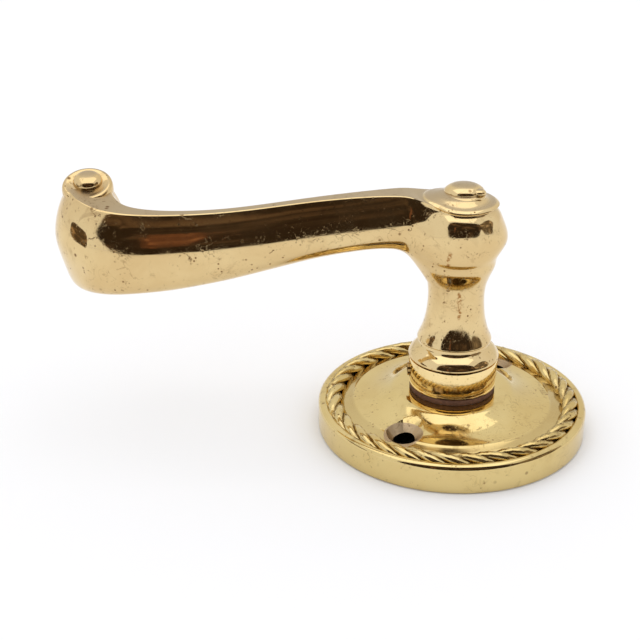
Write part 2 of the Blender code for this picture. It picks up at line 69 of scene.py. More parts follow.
class Workpiece:
    """One mesh shaped with edit-mode operators, in millimetres until it is handed over."""

    def __init__(self, name: str) -> None:
        """Put a single point at the origin and open it for editing.

        Args:
            name: The piece's name.
        """
        if bpy.context.mode != "OBJECT":
            bpy.ops.object.mode_set(mode="OBJECT")
        bpy.ops.object.select_all(action="DESELECT")
        bpy.ops.mesh.primitive_plane_add(size=1.0, location=(0.0, 0.0, 0.0))
        self.obj = bpy.context.object
        self.obj.name = name
        self.obj.data.name = name
        bpy.ops.object.mode_set(mode="EDIT")
        bpy.context.tool_settings.mesh_select_mode = (True, False, False)
        bpy.ops.mesh.select_all(action="SELECT")
        bpy.ops.mesh.merge(type="CENTER")

    def edit_mesh(self) -> bmesh.types.BMesh:
        """The mesh that is open for editing."""
        return bmesh.from_edit_mesh(self.obj.data)

    def select_points(self, test: Callable[[Vector], bool]) -> int:
        """Select the vertices that pass a test on their place.

        Args:
            test: Says for a place, in millimetres, whether to take it.

        Returns:
            The number of vertices selected.
        """
        bpy.ops.mesh.select_all(action="DESELECT")
        shape = self.edit_mesh()
        taken = 0
        for vertex in shape.verts:
            if test(vertex.co):
                vertex.select = True
                taken += 1
        shape.select_flush(True)
        bmesh.update_edit_mesh(self.obj.data)
        return taken

    def select_only(self, vertices: Iterable[bmesh.types.BMVert]) -> None:
        """Select exactly these vertices."""
        shape = self.edit_mesh()
        for vertex in shape.verts:
            vertex.select = False
        for edge in shape.edges:
            edge.select = False
        for face in shape.faces:
            face.select = False
        for vertex in vertices:
            vertex.select = True
        shape.select_flush(True)
        bmesh.update_edit_mesh(self.obj.data)

    def chain(self, points: Sequence[Place], closed: bool = False) -> None:
        """Draw a line of edges from the starting point through the places given.

        Args:
            points: The places in order.
            closed: Whether the last one joins the first.
        """
        bpy.ops.mesh.select_all(action="SELECT")
        bpy.ops.transform.translate(value=points[0])
        here = points[0]
        stops = list(points[1:]) + ([points[0]] if closed else [])
        for there in stops:
            step = tuple(b - a for a, b in zip(here, there))
            bpy.ops.mesh.extrude_vertices_move(TRANSFORM_OT_translate={"value": step})
            here = there
        if closed:
            bpy.ops.mesh.select_all(action="SELECT")
            bpy.ops.mesh.remove_doubles(threshold=CHAIN_SEAM)

    def turn(self, profile: Sequence[Point], steps: int, closed: bool = False) -> None:
        """Turn a profile about the Z axis.

        Args:
            profile: Radius and height pairs.
            steps: Steps in the turn.
            closed: Whether the profile is a loop, as on a washer.
        """
        self.chain([(radius, 0.0, height) for radius, height in profile], closed)
        bpy.ops.mesh.select_all(action="SELECT")
        bpy.ops.mesh.spin(
            steps=steps, angle=math.tau, center=(0.0, 0.0, 0.0), axis=(0.0, 0.0, 1.0)
        )
        bpy.ops.mesh.select_all(action="SELECT")
        bpy.ops.mesh.remove_doubles(threshold=TURNED_SEAM)
        self.face_out()

    def face_out(self) -> None:
        """Make all faces point outwards."""
        bpy.ops.mesh.select_all(action="SELECT")
        bpy.ops.mesh.normals_make_consistent(inside=False)

    def close(self) -> None:
        """Leave edit mode."""
        bpy.ops.object.mode_set(mode="OBJECT")

    def modifier(self, kind: str, **settings: object) -> None:
        """Add a modifier to the closed piece and apply it.

        Args:
            kind: The modifier's type.
            **settings: Its settings by name.
        """
        bpy.context.view_layer.objects.active = self.obj
        made = self.obj.modifiers.new(kind.lower(), kind)
        for key, value in settings.items():
            setattr(made, key, value)
        bpy.ops.object.modifier_apply(modifier=made.name)

    def cut(self, tool: "Workpiece", operation: str = "DIFFERENCE") -> None:
        """Cut a closed piece with another, which is used up.

        Args:
            tool: The cutting piece.
            operation: DIFFERENCE, UNION or INTERSECT.
        """
        self.modifier("BOOLEAN", operation=operation, solver="EXACT", object=tool.obj)
        bpy.data.objects.remove(tool.obj, do_unlink=True)

    def take_in(self, others: Sequence["Workpiece"]) -> None:
        """Join other closed pieces into this one."""
        bpy.ops.object.select_all(action="DESELECT")
        for other in others:
            other.obj.select_set(True)
        self.obj.select_set(True)
        bpy.context.view_layer.objects.active = self.obj
        bpy.ops.object.join()

    def move(self, shift: Place) -> None:
        """Move the closed piece's mesh, in millimetres."""
        bpy.ops.object.mode_set(mode="EDIT")
        bpy.ops.mesh.select_all(action="SELECT")
        bpy.ops.transform.translate(value=shift)
        bpy.ops.object.mode_set(mode="OBJECT")

    def hand_over(
        self, finish: "Finish", body: Body, slot: Slot, stands_for: Sequence[str] = (),
        smooth: float = 40.0,
    ) -> bpy.types.Object:
        """Scale the piece to metres, dress it and seat it on its body.

        Args:
            finish: Its finish.
            body: The body it rides on.
            slot: The part's material slot; it is not used.
            stands_for: CAD nodes it replaces.
            smooth: Edges sharper than this angle in degrees stay sharp.

        Returns:
            The finished object.
        """
        bpy.ops.object.select_all(action="DESELECT")
        self.obj.select_set(True)
        bpy.context.view_layer.objects.active = self.obj
        self.obj.scale = (MM, MM, MM)
        bpy.ops.object.transform_apply(location=True, rotation=True, scale=True)
        bpy.ops.object.shade_smooth_by_angle(angle=math.radians(smooth))
        self.obj.data.materials.clear()
        self.obj.data.materials.append(finish.material())
        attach(self.obj, body.value)
        if stands_for:
            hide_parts(*stands_for)
        bpy.ops.object.select_all(action="DESELECT")
        LOG.info("%s: %d faces", self.obj.name, len(self.obj.data.polygons))
        return self.obj


def upright_cylinder(
    name: str, radius: float, bottom: float, top: float, place: Point, sides: int = 48
) -> Workpiece:
    """Make an upright cylinder to cut or join with.

    Args:
        name: Its name.
        radius: Its radius.
        bottom: Height of its foot.
        top: Height of its top.
        place: Where its axis stands in plan.
        sides: How many sides it has.

    Returns:
        The closed piece.
    """
    piece = Workpiece(name)
    piece.turn([(0.0, top), (radius, top), (radius, bottom), (0.0, bottom)], sides)
    piece.close()
    piece.move((place[0], place[1], 0.0))
    return piece


def block(name: str, size: Place, centre: Place) -> Workpiece:
    """Make a box to cut with.

    Args:
        name: Its name.
        size: Its size along X, Y and Z.
        centre: Its centre.

    Returns:
        The closed piece.
    """
    x, y, z = (part / 2.0 for part in size)
    piece = Workpiece(name)
    piece.chain(
        [(centre[0] + i * x, centre[1] + j * y, centre[2] - z)
         for i, j in ((-1, -1), (1, -1), (1, 1), (-1, 1))],
        closed=True,
    )
    bpy.ops.mesh.select_all(action="SELECT")
    bpy.ops.mesh.edge_face_add()
    bpy.ops.mesh.extrude_region_move(TRANSFORM_OT_translate={"value": (0.0, 0.0, 2.0 * z)})
    piece.face_out()
    piece.close()
    return piece


def arc(centre: Point, radius: float, start: float, end: float, count: int) -> list[Point]:
    """Points along an arc in the radius and height plane.

    Args:
        centre: The arc's centre.
        radius: Its radius.
        start: Its first angle in degrees.
        end: Its last angle in degrees.
        count: How many points.

    Returns:
        The points in order.
    """
    angles = [math.radians(start + (end - start) * k / (count - 1)) for k in range(count)]
    return [(centre[0] + radius * math.cos(a), centre[1] + radius * math.sin(a)) for a in angles]


# --------------------------------------------------------------------------------------------
# Finishes
# --------------------------------------------------------------------------------------------


class Graph:
    """A short way to lay out a material's nodes."""

    def __init__(self, name: str) -> None:
        """Make an empty node material.

        Args:
            name: The material's name.
        """
        self.material = bpy.data.materials.new(name)
        self.material.use_nodes = True
        self.tree = self.material.node_tree
        self.shader = self.tree.nodes["Principled BSDF"]
        self.place = self.tree.nodes.new("ShaderNodeTexCoord").outputs["Object"]

    def node(self, kind: str, **settings: object) -> bpy.types.Node:
        """Add a node.

        Args:
            kind: Its type without the ShaderNode prefix.
            **settings: Its properties by name.

        Returns:
            The node.
        """
        made = self.tree.nodes.new("ShaderNode" + kind)
        for key, value in settings.items():
            setattr(made, key, value)
        return made

    def link(self, source: bpy.types.NodeSocket, target: bpy.types.NodeSocket) -> None:
        """Join two sockets."""
        self.tree.links.new(source, target)

    def stretched(self, scale: Place, turn: Place = (0.0, 0.0, 0.0)) -> bpy.types.NodeSocket:
        """Object coordinates, scaled and turned."""
        mapping = self.node("Mapping")
        mapping.inputs["Scale"].default_value = scale
        mapping.inputs["Rotation"].default_value = turn
        self.link(self.place, mapping.inputs["Vector"])
        return mapping.outputs["Vector"]

    def noise(
        self, scale: float, detail: float = 3.0, roughness: float = 0.55,
        place: bpy.types.NodeSocket | None = None, distortion: float = 0.0,
    ) -> bpy.types.NodeSocket:
        """A noise pattern's value.

        Args:
            scale: Features per metre.
            detail: Octaves.
            roughness: How strong the finer octaves are.
            place: Coordinates, if not the plain object ones.
            distortion: How much it swirls.

        Returns:
            The value's socket.
        """
        made = self.node("TexNoise")
        made.inputs["Scale"].default_value = scale
        made.inputs["Detail"].default_value = detail
        made.inputs["Roughness"].default_value = roughness
        made.inputs["Distortion"].default_value = distortion
        self.link(place or self.place, made.inputs["Vector"])
        return made.outputs["Fac"]

    def pits(self, scale: float) -> bpy.types.NodeSocket:
        """Distance to the nearest of many scattered spots."""
        made = self.node("TexVoronoi")
        made.inputs["Scale"].default_value = scale
        self.link(self.place, made.inputs["Vector"])
        return made.outputs["Distance"]

    def ramp(
        self, value: bpy.types.NodeSocket, low: float, high: float, start: float = 0.0,
        end: float = 1.0,
    ) -> bpy.types.NodeSocket:
        """Map a value's range to another, held at its ends.

        Args:
            value: The value.
            low: Where the range starts.
            high: Where it ends.
            start: The result at its start.
            end: The result at its end.

        Returns:
            The result's socket.
        """
        made = self.node("MapRange", interpolation_type="SMOOTHSTEP")
        made.inputs["From Min"].default_value = low
        made.inputs["From Max"].default_value = high
        made.inputs["To Min"].default_value = start
        made.inputs["To Max"].default_value = end
        self.link(value, made.inputs["Value"])
        return made.outputs["Result"]

    def math(
        self, operation: str, first: bpy.types.NodeSocket, second: bpy.types.NodeSocket | float
    ) -> bpy.types.NodeSocket:
        """One step of arithmetic on one or two values."""
        made = self.node("Math", operation=operation)
        self.link(first, made.inputs[0])
        if isinstance(second, float):
            made.inputs[1].default_value = second
        else:
            self.link(second, made.inputs[1])
        return made.outputs["Value"]

    def mix(
        self, share: bpy.types.NodeSocket, first: bpy.types.NodeSocket | Colour,
        second: bpy.types.NodeSocket | Colour,
    ) -> bpy.types.NodeSocket:
        """Mix two colours.

        Args:
            share: How much of the second.
            first: A colour or its socket.
            second: A colour or its socket.

        Returns:
            The mixed colour's socket.
        """
        made = self.node("Mix", data_type="RGBA")
        self.link(share, made.inputs["Factor"])
        for socket, value in ((made.inputs["A"], first), (made.inputs["B"], second)):
            if isinstance(value, tuple):
                socket.default_value = (*value, 1.0)
            else:
                self.link(value, socket)
        return made.outputs["Result"]

    def bump(
        self, height: bpy.types.NodeSocket, distance: float,
        below: bpy.types.NodeSocket | None = None,
    ) -> bpy.types.NodeSocket:
        """A bump from a height value.

        Args:
            height: The height.
            distance: Its depth in metres.
            below: A bump to lay it over.

        Returns:
            The normal's socket.
        """
        made = self.node("Bump")
        made.inputs["Strength"].default_value = 1.0
        made.inputs["Distance"].default_value = distance
        self.link(height, made.inputs["Height"])
        if below is not None:
            self.link(below, made.inputs["Normal"])
        return made.outputs["Normal"]

    def ring_mask(self, inner: float, outer: float, soft: float) -> bpy.types.NodeSocket:
        """One between two distances from the Z axis, in metres, and nought elsewhere."""
        split = self.node("SeparateXYZ")
        self.link(self.place, split.inputs["Vector"])
        across = self.math("MULTIPLY", split.outputs["X"], split.outputs["X"])
        along = self.math("MULTIPLY", split.outputs["Y"], split.outputs["Y"])
        radius = self.math("SQRT", self.math("ADD", across, along), 0.0)
        rises = self.ramp(radius, inner - soft, inner + soft)
        falls = self.ramp(radius, outer - soft, outer + soft, 1.0, 0.0)
        return self.math("MULTIPLY", rises, falls)

    def facing_up(self, low: float, high: float) -> bpy.types.NodeSocket:
        """One where the surface faces up, nought where it slopes more than the lower value says."""
        split = self.node("SeparateXYZ")
        self.link(self.node("TexCoord").outputs["Normal"], split.inputs["Vector"])
        return self.ramp(split.outputs["Z"], low, high)

    def run(self, x: float, low: float, high: float) -> bpy.types.NodeSocket:
        """A broken run of stain down the front at a place along X, between two heights."""
        split = self.node("SeparateXYZ")
        self.link(self.place, split.inputs["Vector"])
        wander = self.math("MULTIPLY", self.noise(700.0, 3.0, 0.6), 0.0016)
        aside = self.math("SUBTRACT", self.math("ADD", split.outputs["X"], wander), x + 0.0008)
        near = self.ramp(self.math("ABSOLUTE", aside, 0.0), 0.00008, 0.00055, 1.0, 0.0)
        for socket, start, end in (
            (split.outputs["Z"], low, low + 0.0008), (split.outputs["Z"], high, high - 0.0008),
            (split.outputs["Y"], 0.0, -0.001),
        ):
            near = self.math("MULTIPLY", near, self.ramp(socket, start, end))
        return self.math("MULTIPLY", near, self.ramp(self.noise(1900.0, 2.0, 0.6), 0.38, 0.6))

    def round_spot(self, x: float, y: float, radius: float) -> bpy.types.NodeSocket:
        """One within a distance of an upright line through a place in plan, in metres."""
        split = self.node("SeparateXYZ")
        self.link(self.place, split.inputs["Vector"])
        across = self.math("SUBTRACT", split.outputs["X"], x)
        along = self.math("SUBTRACT", split.outputs["Y"], y)
        across = self.math("MULTIPLY", across, across)
        along = self.math("MULTIPLY", along, along)
        away = self.math("SQRT", self.math("ADD", across, along), 0.0)
        return self.ramp(away, radius - 0.00005, radius + 0.00005, 1.0, 0.0)


class Finish:
    """A finish that makes its material once."""

    made: dict[str, bpy.types.Material] = {}

    def material(self) -> bpy.types.Material:
        """The finish's material."""
        key = repr(self)
        if key not in Finish.made:
            Finish.made[key] = self.mix_up()
        return Finish.made[key]

    def mix_up(self) -> bpy.types.Material:
        """Lay out the material's nodes."""
        raise NotImplementedError


@dataclass(frozen=True)
class PolishedBrass(Finish):
    """Hand-polished brass: faint ripples, fine scratches, pits, oxide specks and, where set,
    painted shade.
    """

    name: str
    bright: Colour
    shade: Colour
    # Dark colour for tarnish and dirt, and for the painted shade of the rings.
    tarnish_and_shade: Colour = (0.16, 0.075, 0.022)
    # Colour of the painted shade on up-facing surfaces.
    top_shade_colour: Colour = (0.43, 0.33, 0.20)
    dulled: Colour = (0.50, 0.37, 0.22)
    stained: Colour = (0.34, 0.16, 0.045)
    gloss: float = 0.06
    ripple: float = 0.00004
    specks: float = 0.85
    # Rings of painted shade: inner and outer radius in metres, and strength.
    shade_rings: tuple[tuple[float, float, float], ...] = ()
    crevices: float = 0.0
    # Strength of the painted shade on up-facing surfaces, which are also roughened for worn polish.
    worn_and_shaded_top: float = 0.0
    dull_spots: tuple[tuple[float, float, float], ...] = ()
    runs: tuple[tuple[float, float, float], ...] = ()

    def mix_up(self) -> bpy.types.Material:
        """Lay out the material's nodes."""
        graph = Graph(self.name)
        tone = graph.ramp(graph.noise(55.0, 4.0, 0.6, distortion=0.6), 0.38, 0.68)
        colour = graph.mix(tone, self.bright, self.shade)
        cloud = graph.ramp(graph.noise(170.0, 5.0, 0.65, distortion=1.2), 0.56, 0.78)
        colour = graph.mix(graph.math("MULTIPLY", cloud, 0.45), colour, self.tarnish_and_shade)
        # Painted shade: up-facing surfaces get a darker colour; the added roughness stands for worn
        # polish.
        dull_and_shaded = graph.math("MULTIPLY", graph.facing_up(0.88, 0.985), self.worn_and_shaded_top)
        colour = graph.mix(dull_and_shaded, colour, self.top_shade_colour)
        for x, y, radius in self.dull_spots:
            spot = graph.round_spot(x, y, radius)
            colour = graph.mix(spot, colour, self.dulled)
            dull_and_shaded = graph.math("MAXIMUM", dull_and_shaded, spot)

        spot = graph.ramp(graph.pits(720.0), 0.08, 0.22, 1.0, 0.0)
        where = graph.ramp(graph.noise(260.0, 3.0, 0.6), 0.5, 0.58)
        dirt_and_shade = graph.math("MULTIPLY", spot, where)
        coarse = graph.ramp(graph.pits(300.0), 0.06, 0.16, 1.0, 0.0)
        patch = graph.ramp(graph.noise(90.0, 2.0, 0.5), 0.5, 0.6)
        dirt_and_shade = graph.math("MAXIMUM", dirt_and_shade, graph.math("MULTIPLY", coarse, patch))
        stain = graph.ramp(graph.noise(680.0, 6.0, 0.75, distortion=1.6), 0.56, 0.66)
        dirt_and_shade = graph.math("MAXIMUM", dirt_and_shade, graph.math("MULTIPLY", stain, where))
        line = graph.math("SUBTRACT", graph.noise(310.0, 3.0, 0.55, distortion=0.8), 0.5)
        vein = graph.ramp(graph.math("ABSOLUTE", line, 0.0), 0.002, 0.02, 0.4, 0.0)
        veined = graph.ramp(graph.noise(70.0, 3.0, 0.6, distortion=0.5), 0.52, 0.62)
        dirt_and_shade = graph.math("MAXIMUM", dirt_and_shade, graph.math("MULTIPLY", vein, veined))
        dirt_and_shade = graph.math("MULTIPLY", dirt_and_shade, self.specks)
        # Painted shade: a darker, browner ring laid round the axis.
        for inner, outer, amount in self.shade_rings:
            shade_band = graph.ring_mask(inner, outer, 0.0004)
            shade_band = graph.math("MULTIPLY", shade_band, amount)
            dirt_and_shade = graph.math("MAXIMUM", dirt_and_shade, shade_band)
        # The colour is darkened in hollows that the ambient-occlusion node finds.
        if self.crevices > 0.0:
            hollow = graph.node("AmbientOcclusion", samples=6, only_local=True)
            hollow.inputs["Distance"].default_value = 0.0012
            hollow_darkening = graph.ramp(hollow.outputs["AO"], 0.35, 0.85, self.crevices, 0.0)
            dirt_and_shade = graph.math("MAXIMUM", dirt_and_shade, hollow_darkening)
        # Dirt, the painted shade rings and the darkening in hollows all pull the colour towards
        # this dark colour.
        colour = graph.mix(dirt_and_shade, colour, self.tarnish_and_shade)
        for x, low, high in self.runs:
            colour = graph.mix(graph.run(x, low, high), colour, self.stained)
        graph.link(colour, graph.shader.inputs["Base Color"])

        lines = graph.noise(1.0, 2.0, 0.5, graph.stretched((220.0, 4200.0, 900.0), (0.2, 0.1, 0.5)))
        more = graph.noise(1.0, 2.0, 0.5, graph.stretched((3800.0, 260.0, 700.0), (0.1, 0.4, -0.3)))
        scratch = graph.math(
            "MAXIMUM", graph.ramp(lines, 0.7, 0.76), graph.ramp(more, 0.71, 0.77)
        )
        rough = graph.ramp(graph.noise(140.0, 4.0, 0.6), 0.4, 0.75, self.gloss, self.gloss + 0.07)
        rough = graph.math("ADD", rough, graph.math("MULTIPLY", scratch, 0.12))
        rough = graph.math("ADD", rough, graph.math("MULTIPLY", dirt_and_shade, 0.32))
        rough = graph.math("ADD", rough, graph.math("MULTIPLY", dull_and_shaded, 0.28))
        graph.link(rough, graph.shader.inputs["Roughness"])

        wave = graph.bump(graph.noise(150.0, 2.0, 0.4, distortion=0.3), self.ripple)
        fine = graph.bump(scratch, -0.000004, wave)
        graph.link(graph.bump(dirt_and_shade, -0.000012, fine), graph.shader.inputs["Normal"])
        graph.shader.inputs["Metallic"].default_value = 1.0
        return graph.material


@dataclass(frozen=True)
class Steel(Finish):
    """Plated or oiled steel with a cloudy tone and a brushed grain."""

    name: str
    colour: Colour
    darker: Colour
    roughness: float = 0.35
    metallic: float = 1.0

    def mix_up(self) -> bpy.types.Material:
        """Lay out the material's nodes."""
        graph = Graph(self.name)
        cloud = graph.ramp(graph.noise(300.0, 5.0, 0.6), 0.35, 0.7)
        graph.link(graph.mix(cloud, self.colour, self.darker), graph.shader.inputs["Base Color"])
        grain = graph.noise(1.0, 3.0, 0.6, graph.stretched((300.0, 5200.0, 5200.0)))
        rough = graph.ramp(grain, 0.3, 0.7, self.roughness - 0.08, self.roughness + 0.1)
        graph.link(rough, graph.shader.inputs["Roughness"])
        graph.link(graph.bump(grain, 0.000004), graph.shader.inputs["Normal"])
        graph.shader.inputs["Metallic"].default_value = self.metallic
        return graph.material


@dataclass(frozen=True)
class Moulded(Finish):
    """Fibre or nylon: a dull surface with a fine mottle."""

    name: str
    colour: Colour
    darker: Colour
    roughness: float = 0.55

    def mix_up(self) -> bpy.types.Material:
        """Lay out the material's nodes."""
        graph = Graph(self.name)
        mottle = graph.noise(1400.0, 5.0, 0.7)
        share = graph.ramp(mottle, 0.35, 0.7)
        graph.link(graph.mix(share, self.colour, self.darker), graph.shader.inputs["Base Color"])
        rough = graph.ramp(mottle, 0.3, 0.7, self.roughness - 0.08, self.roughness + 0.12)
        graph.link(rough, graph.shader.inputs["Roughness"])
        graph.link(graph.bump(mottle, 0.00003), graph.shader.inputs["Normal"])
        return graph.material


# The lever's up-facing top gets painted shade, and roughness for worn polish.
LEVER_BRASS = PolishedBrass(
    "lever_brass", (0.75, 0.57, 0.29), (0.68, 0.49, 0.235), crevices=0.3, worn_and_shaded_top=0.85,
    runs=((-0.0027, 0.0400, 0.0442), (0.0001, 0.0275, 0.0345)),
)
COLLAR_BRASS = PolishedBrass("collar_brass", (0.94, 0.73, 0.36), (0.90, 0.67, 0.31), specks=0.35)
# The ring over the rose's cove is painted shade.
ROSE_BRASS = PolishedBrass(
    "rose_brass", (0.72, 0.56, 0.25), (0.66, 0.49, 0.20), ripple=0.00002, specks=0.55,
    shade_rings=((0.0214, 0.0241, 0.2),), crevices=0.35,
    dull_spots=((-0.011357, -0.016219, 0.0041), (0.011357, 0.016219, 0.0041)),
)
ROPE_BRASS = PolishedBrass(
    "rope_brass", (0.70, 0.54, 0.24), (0.62, 0.45, 0.17), gloss=0.12, ripple=0.00005, crevices=0.85
)
SCREW_BRASS = PolishedBrass("screw_brass", (0.50, 0.33, 0.13), (0.36, 0.22, 0.08), gloss=0.22)
BROWN_FIBRE = Moulded("brown_fibre", (0.15, 0.062, 0.028), (0.08, 0.032, 0.016), 0.7)
NYLON = Moulded("white_nylon", (0.80, 0.77, 0.70), (0.70, 0.66, 0.58), 0.42)
ZINC = Steel("zinc_steel", (0.58, 0.57, 0.52), (0.42, 0.42, 0.41), 0.36)
SPRING = Steel("spring_steel", (0.30, 0.29, 0.28), (0.16, 0.15, 0.15), 0.32)
BLACKED = Steel("black_steel", (0.06, 0.06, 0.065), (0.03, 0.03, 0.03), 0.42, 0.8)


# --------------------------------------------------------------------------------------------
# The rose
# --------------------------------------------------------------------------------------------


@dataclass
class Rose:
    """The round rose: rounded shoulder, rope seat, cove, hollow dish and two screw holes."""

    radius: float = 29.0
    wall: float = 1.8
    bore: float = 9.0
    top: float = 9.1
    dish_inner: float = 12.6
    dish_edge: Point = (21.15, 6.5)
    plate: float = 1.6
    corner: tuple[float, float, float] = (27.85, 5.12, 1.15)
    rope_seat: Outline = ((24.8, 4.9), (26.4, 4.7), (27.0, 5.3), (27.15, 5.95))
    hole_circle: float = 19.8
    hole_angles: tuple[float, float] = (-125.0, 55.0)
    hole_radius: float = 1.7
    countersink: float = 4.05
    countersink_top: float = 6.75
    boss_circle: float = 23.2
    boss_angles: tuple[float, float, float] = (-35.0, 85.0, 205.0)
    boss_radius: float = 2.3
    boss_bore: float = 1.3
    steps: int = 192

    def dish_height(self, radius: float) -> float:
        """Height of the dish's hollow curve at a radius."""
        share = (self.dish_edge[0] - radius) / (self.dish_edge[0] - self.dish_inner)
        return self.dish_edge[1] + (self.top - self.dish_edge[1]) * max(0.0, share) ** 2.2

    def profile(self) -> list[Point]:
        """The rose's outline from the bore outwards, down its wall and back underneath."""
        count = 22
        radii = [
            self.dish_inner + (self.dish_edge[0] - 0.12 - self.dish_inner) * k / (count - 1)
            for k in range(count)
        ]
        dish = [(radius, self.dish_height(radius)) for radius in radii]
        edge_r, edge_z = self.dish_edge
        outline = [(self.bore, self.top - 0.12), (self.bore + 0.12, self.top)]
        outline += [(10.6, self.top), (11.8, self.top - 0.005), (12.35, self.top - 0.02)]
        outline += dish[1:]
        outline += [(edge_r, edge_z - 0.015), (edge_r + 0.1, edge_z - 0.06)]
        outline += [(edge_r + 0.22, edge_z - 0.14), (edge_r + 0.6, edge_z - 0.3)]
        outline += [(22.5, edge_z - 0.52), (23.3, edge_z - 0.78), (24.1, edge_z - 1.1)]
        outline += self.rope_seat
        centre_r, centre_z, corner = self.corner
        outline += arc((centre_r, centre_z), corner, 118.0, 0.0, 12)
        outline += [(29.0, 4.6), (29.0, 3.6), (29.0, 2.4)]
        outline += [(self.radius, 0.7), (28.97, 0.3), (28.85, 0.08), (28.65, 0.0)]
        inner = self.radius - self.wall
        outline += [(inner + 0.1, 0.0), (inner, 0.1), (inner, 3.2), (26.4, 3.6), (25.2, 4.0)]
        outline += [(radius, height - self.plate) for radius, height in reversed(dish)]
        outline += [(self.bore, self.top - self.plate)]
        return outline

    def build(self) -> None:
        """Make the rose's body with its bosses and holes, and its rope."""
        body = Workpiece("rose")
        body.turn(self.profile(), self.steps, closed=True)
        body.close()
        for index, degrees in enumerate(self.boss_angles):
            spot = on_circle(self.boss_circle, degrees)
            body.cut(upright_cylinder(f"boss_{index}", self.boss_radius, 2.0, 4.6, spot), "UNION")
            body.cut(upright_cylinder(f"boss_hole_{index}", self.boss_bore, 0.0, 5.0, spot, 24))
        for index, degrees in enumerate(self.hole_angles):
            body.cut(self.hole_cutter(index, on_circle(self.hole_circle, degrees)))
        body.hand_over(ROSE_BRASS, Body.ROSE, Slot.POLISHED_BRASS, ("rose_shell",), smooth=32.0)
        Rope().build().hand_over(ROPE_BRASS, Body.ROSE, Slot.POLISHED_BRASS, smooth=50.0)

    def hole_cutter(self, index: int, spot: Point) -> Workpiece:
        """The shape of a countersunk hole, with a softened lip.

        Args:
            index: Which hole.
            spot: Its centre in plan.

        Returns:
            The cutting piece.
        """
        lip, bore, above, soft = self.countersink_top, self.hole_radius, 2.5, 0.1
        floor = lip - self.countersink + bore
        cutter = Workpiece(f"screw_hole_{index}")
        cutter.turn(
            [
                (0.0, lip + above), (self.countersink + above, lip + above),
                (bore + soft, floor + soft), (bore, floor - soft), (bore, -1.0), (0.0, -1.0),
            ],
            64,
        )
        cutter.close()
        cutter.move((spot[0], spot[1], 0.0))
        return cutter


def on_circle(radius: float, degrees: float) -> Point:
    """A place in plan from a radius and an angle."""
    angle = math.radians(degrees)
    return (radius * math.cos(angle), radius * math.sin(angle))


@dataclass
class Rope:
    """The twisted rope that borders the rose, in three strands."""

    centre_radius: float = 25.65
    height: float = 5.6
    strands: int = 3
    turns: int = 11
    sides: int = 36
    core: float = 1.1
    strand: float = 0.78
    line_depth: float = 0.03
    cuts: int = 395

    def section(self) -> list[Place]:
        """One section of the rope, across its length."""
        places = []
        for k in range(self.sides):
            angle = math.tau * k / self.sides
            phase = (angle * self.strands / math.tau) % 1.0
            off_centre = abs(phase - 0.5) * 2.0
            swell = math.cos(off_centre * math.pi / 2.0) ** 0.72
            line = self.line_depth * math.exp(-((off_centre / 0.16) ** 2))
            radius = self.core + self.strand * swell - line
            places.append((0.0, radius * math.cos(angle), radius * math.sin(angle)))
        return places

    def build(self) -> Workpiece:
        """Make a straight bar, twist it and bend it to a ring."""
        length = math.tau * self.centre_radius
        rope = Workpiece("rope")
        rope.chain(self.section(), closed=True)
        bpy.ops.mesh.select_all(action="SELECT")
        bpy.ops.transform.translate(value=(-length / 2.0, 0.0, 0.0))
        bpy.ops.mesh.extrude_region_move(TRANSFORM_OT_translate={"value": (length, 0.0, 0.0)})
        bpy.context.tool_settings.mesh_select_mode = (False, True, False)
        bpy.ops.mesh.select_all(action="DESELECT")
        shape = rope.edit_mesh()
        for edge in shape.edges:
            ends = edge.verts[0].co.x, edge.verts[1].co.x
            edge.select = abs(ends[0] - ends[1]) > length / 2.0
        bmesh.update_edit_mesh(rope.obj.data)
        bpy.ops.mesh.subdivide(number_cuts=self.cuts)
        bpy.context.tool_settings.mesh_select_mode = (True, False, False)
        rope.close()
        rope.modifier(
            "SIMPLE_DEFORM", deform_method="TWIST", deform_axis="X", angle=math.tau * self.turns
        )
        rope.modifier("SIMPLE_DEFORM", deform_method="BEND", deform_axis="Z", angle=math.tau)
        box = [Vector(corner) for corner in rope.obj.bound_box]
        middle = sum(box, Vector()) / len(box)
        rope.move((-middle.x, -middle.y, self.height - middle.z))
        bpy.ops.object.mode_set(mode="EDIT")
        bpy.ops.mesh.select_all(action="SELECT")
        bpy.ops.mesh.remove_doubles(threshold=ROPE_SEAM)
        rope.face_out()
        rope.close()
        return rope


# --------------------------------------------------------------------------------------------
# The lever
# --------------------------------------------------------------------------------------------


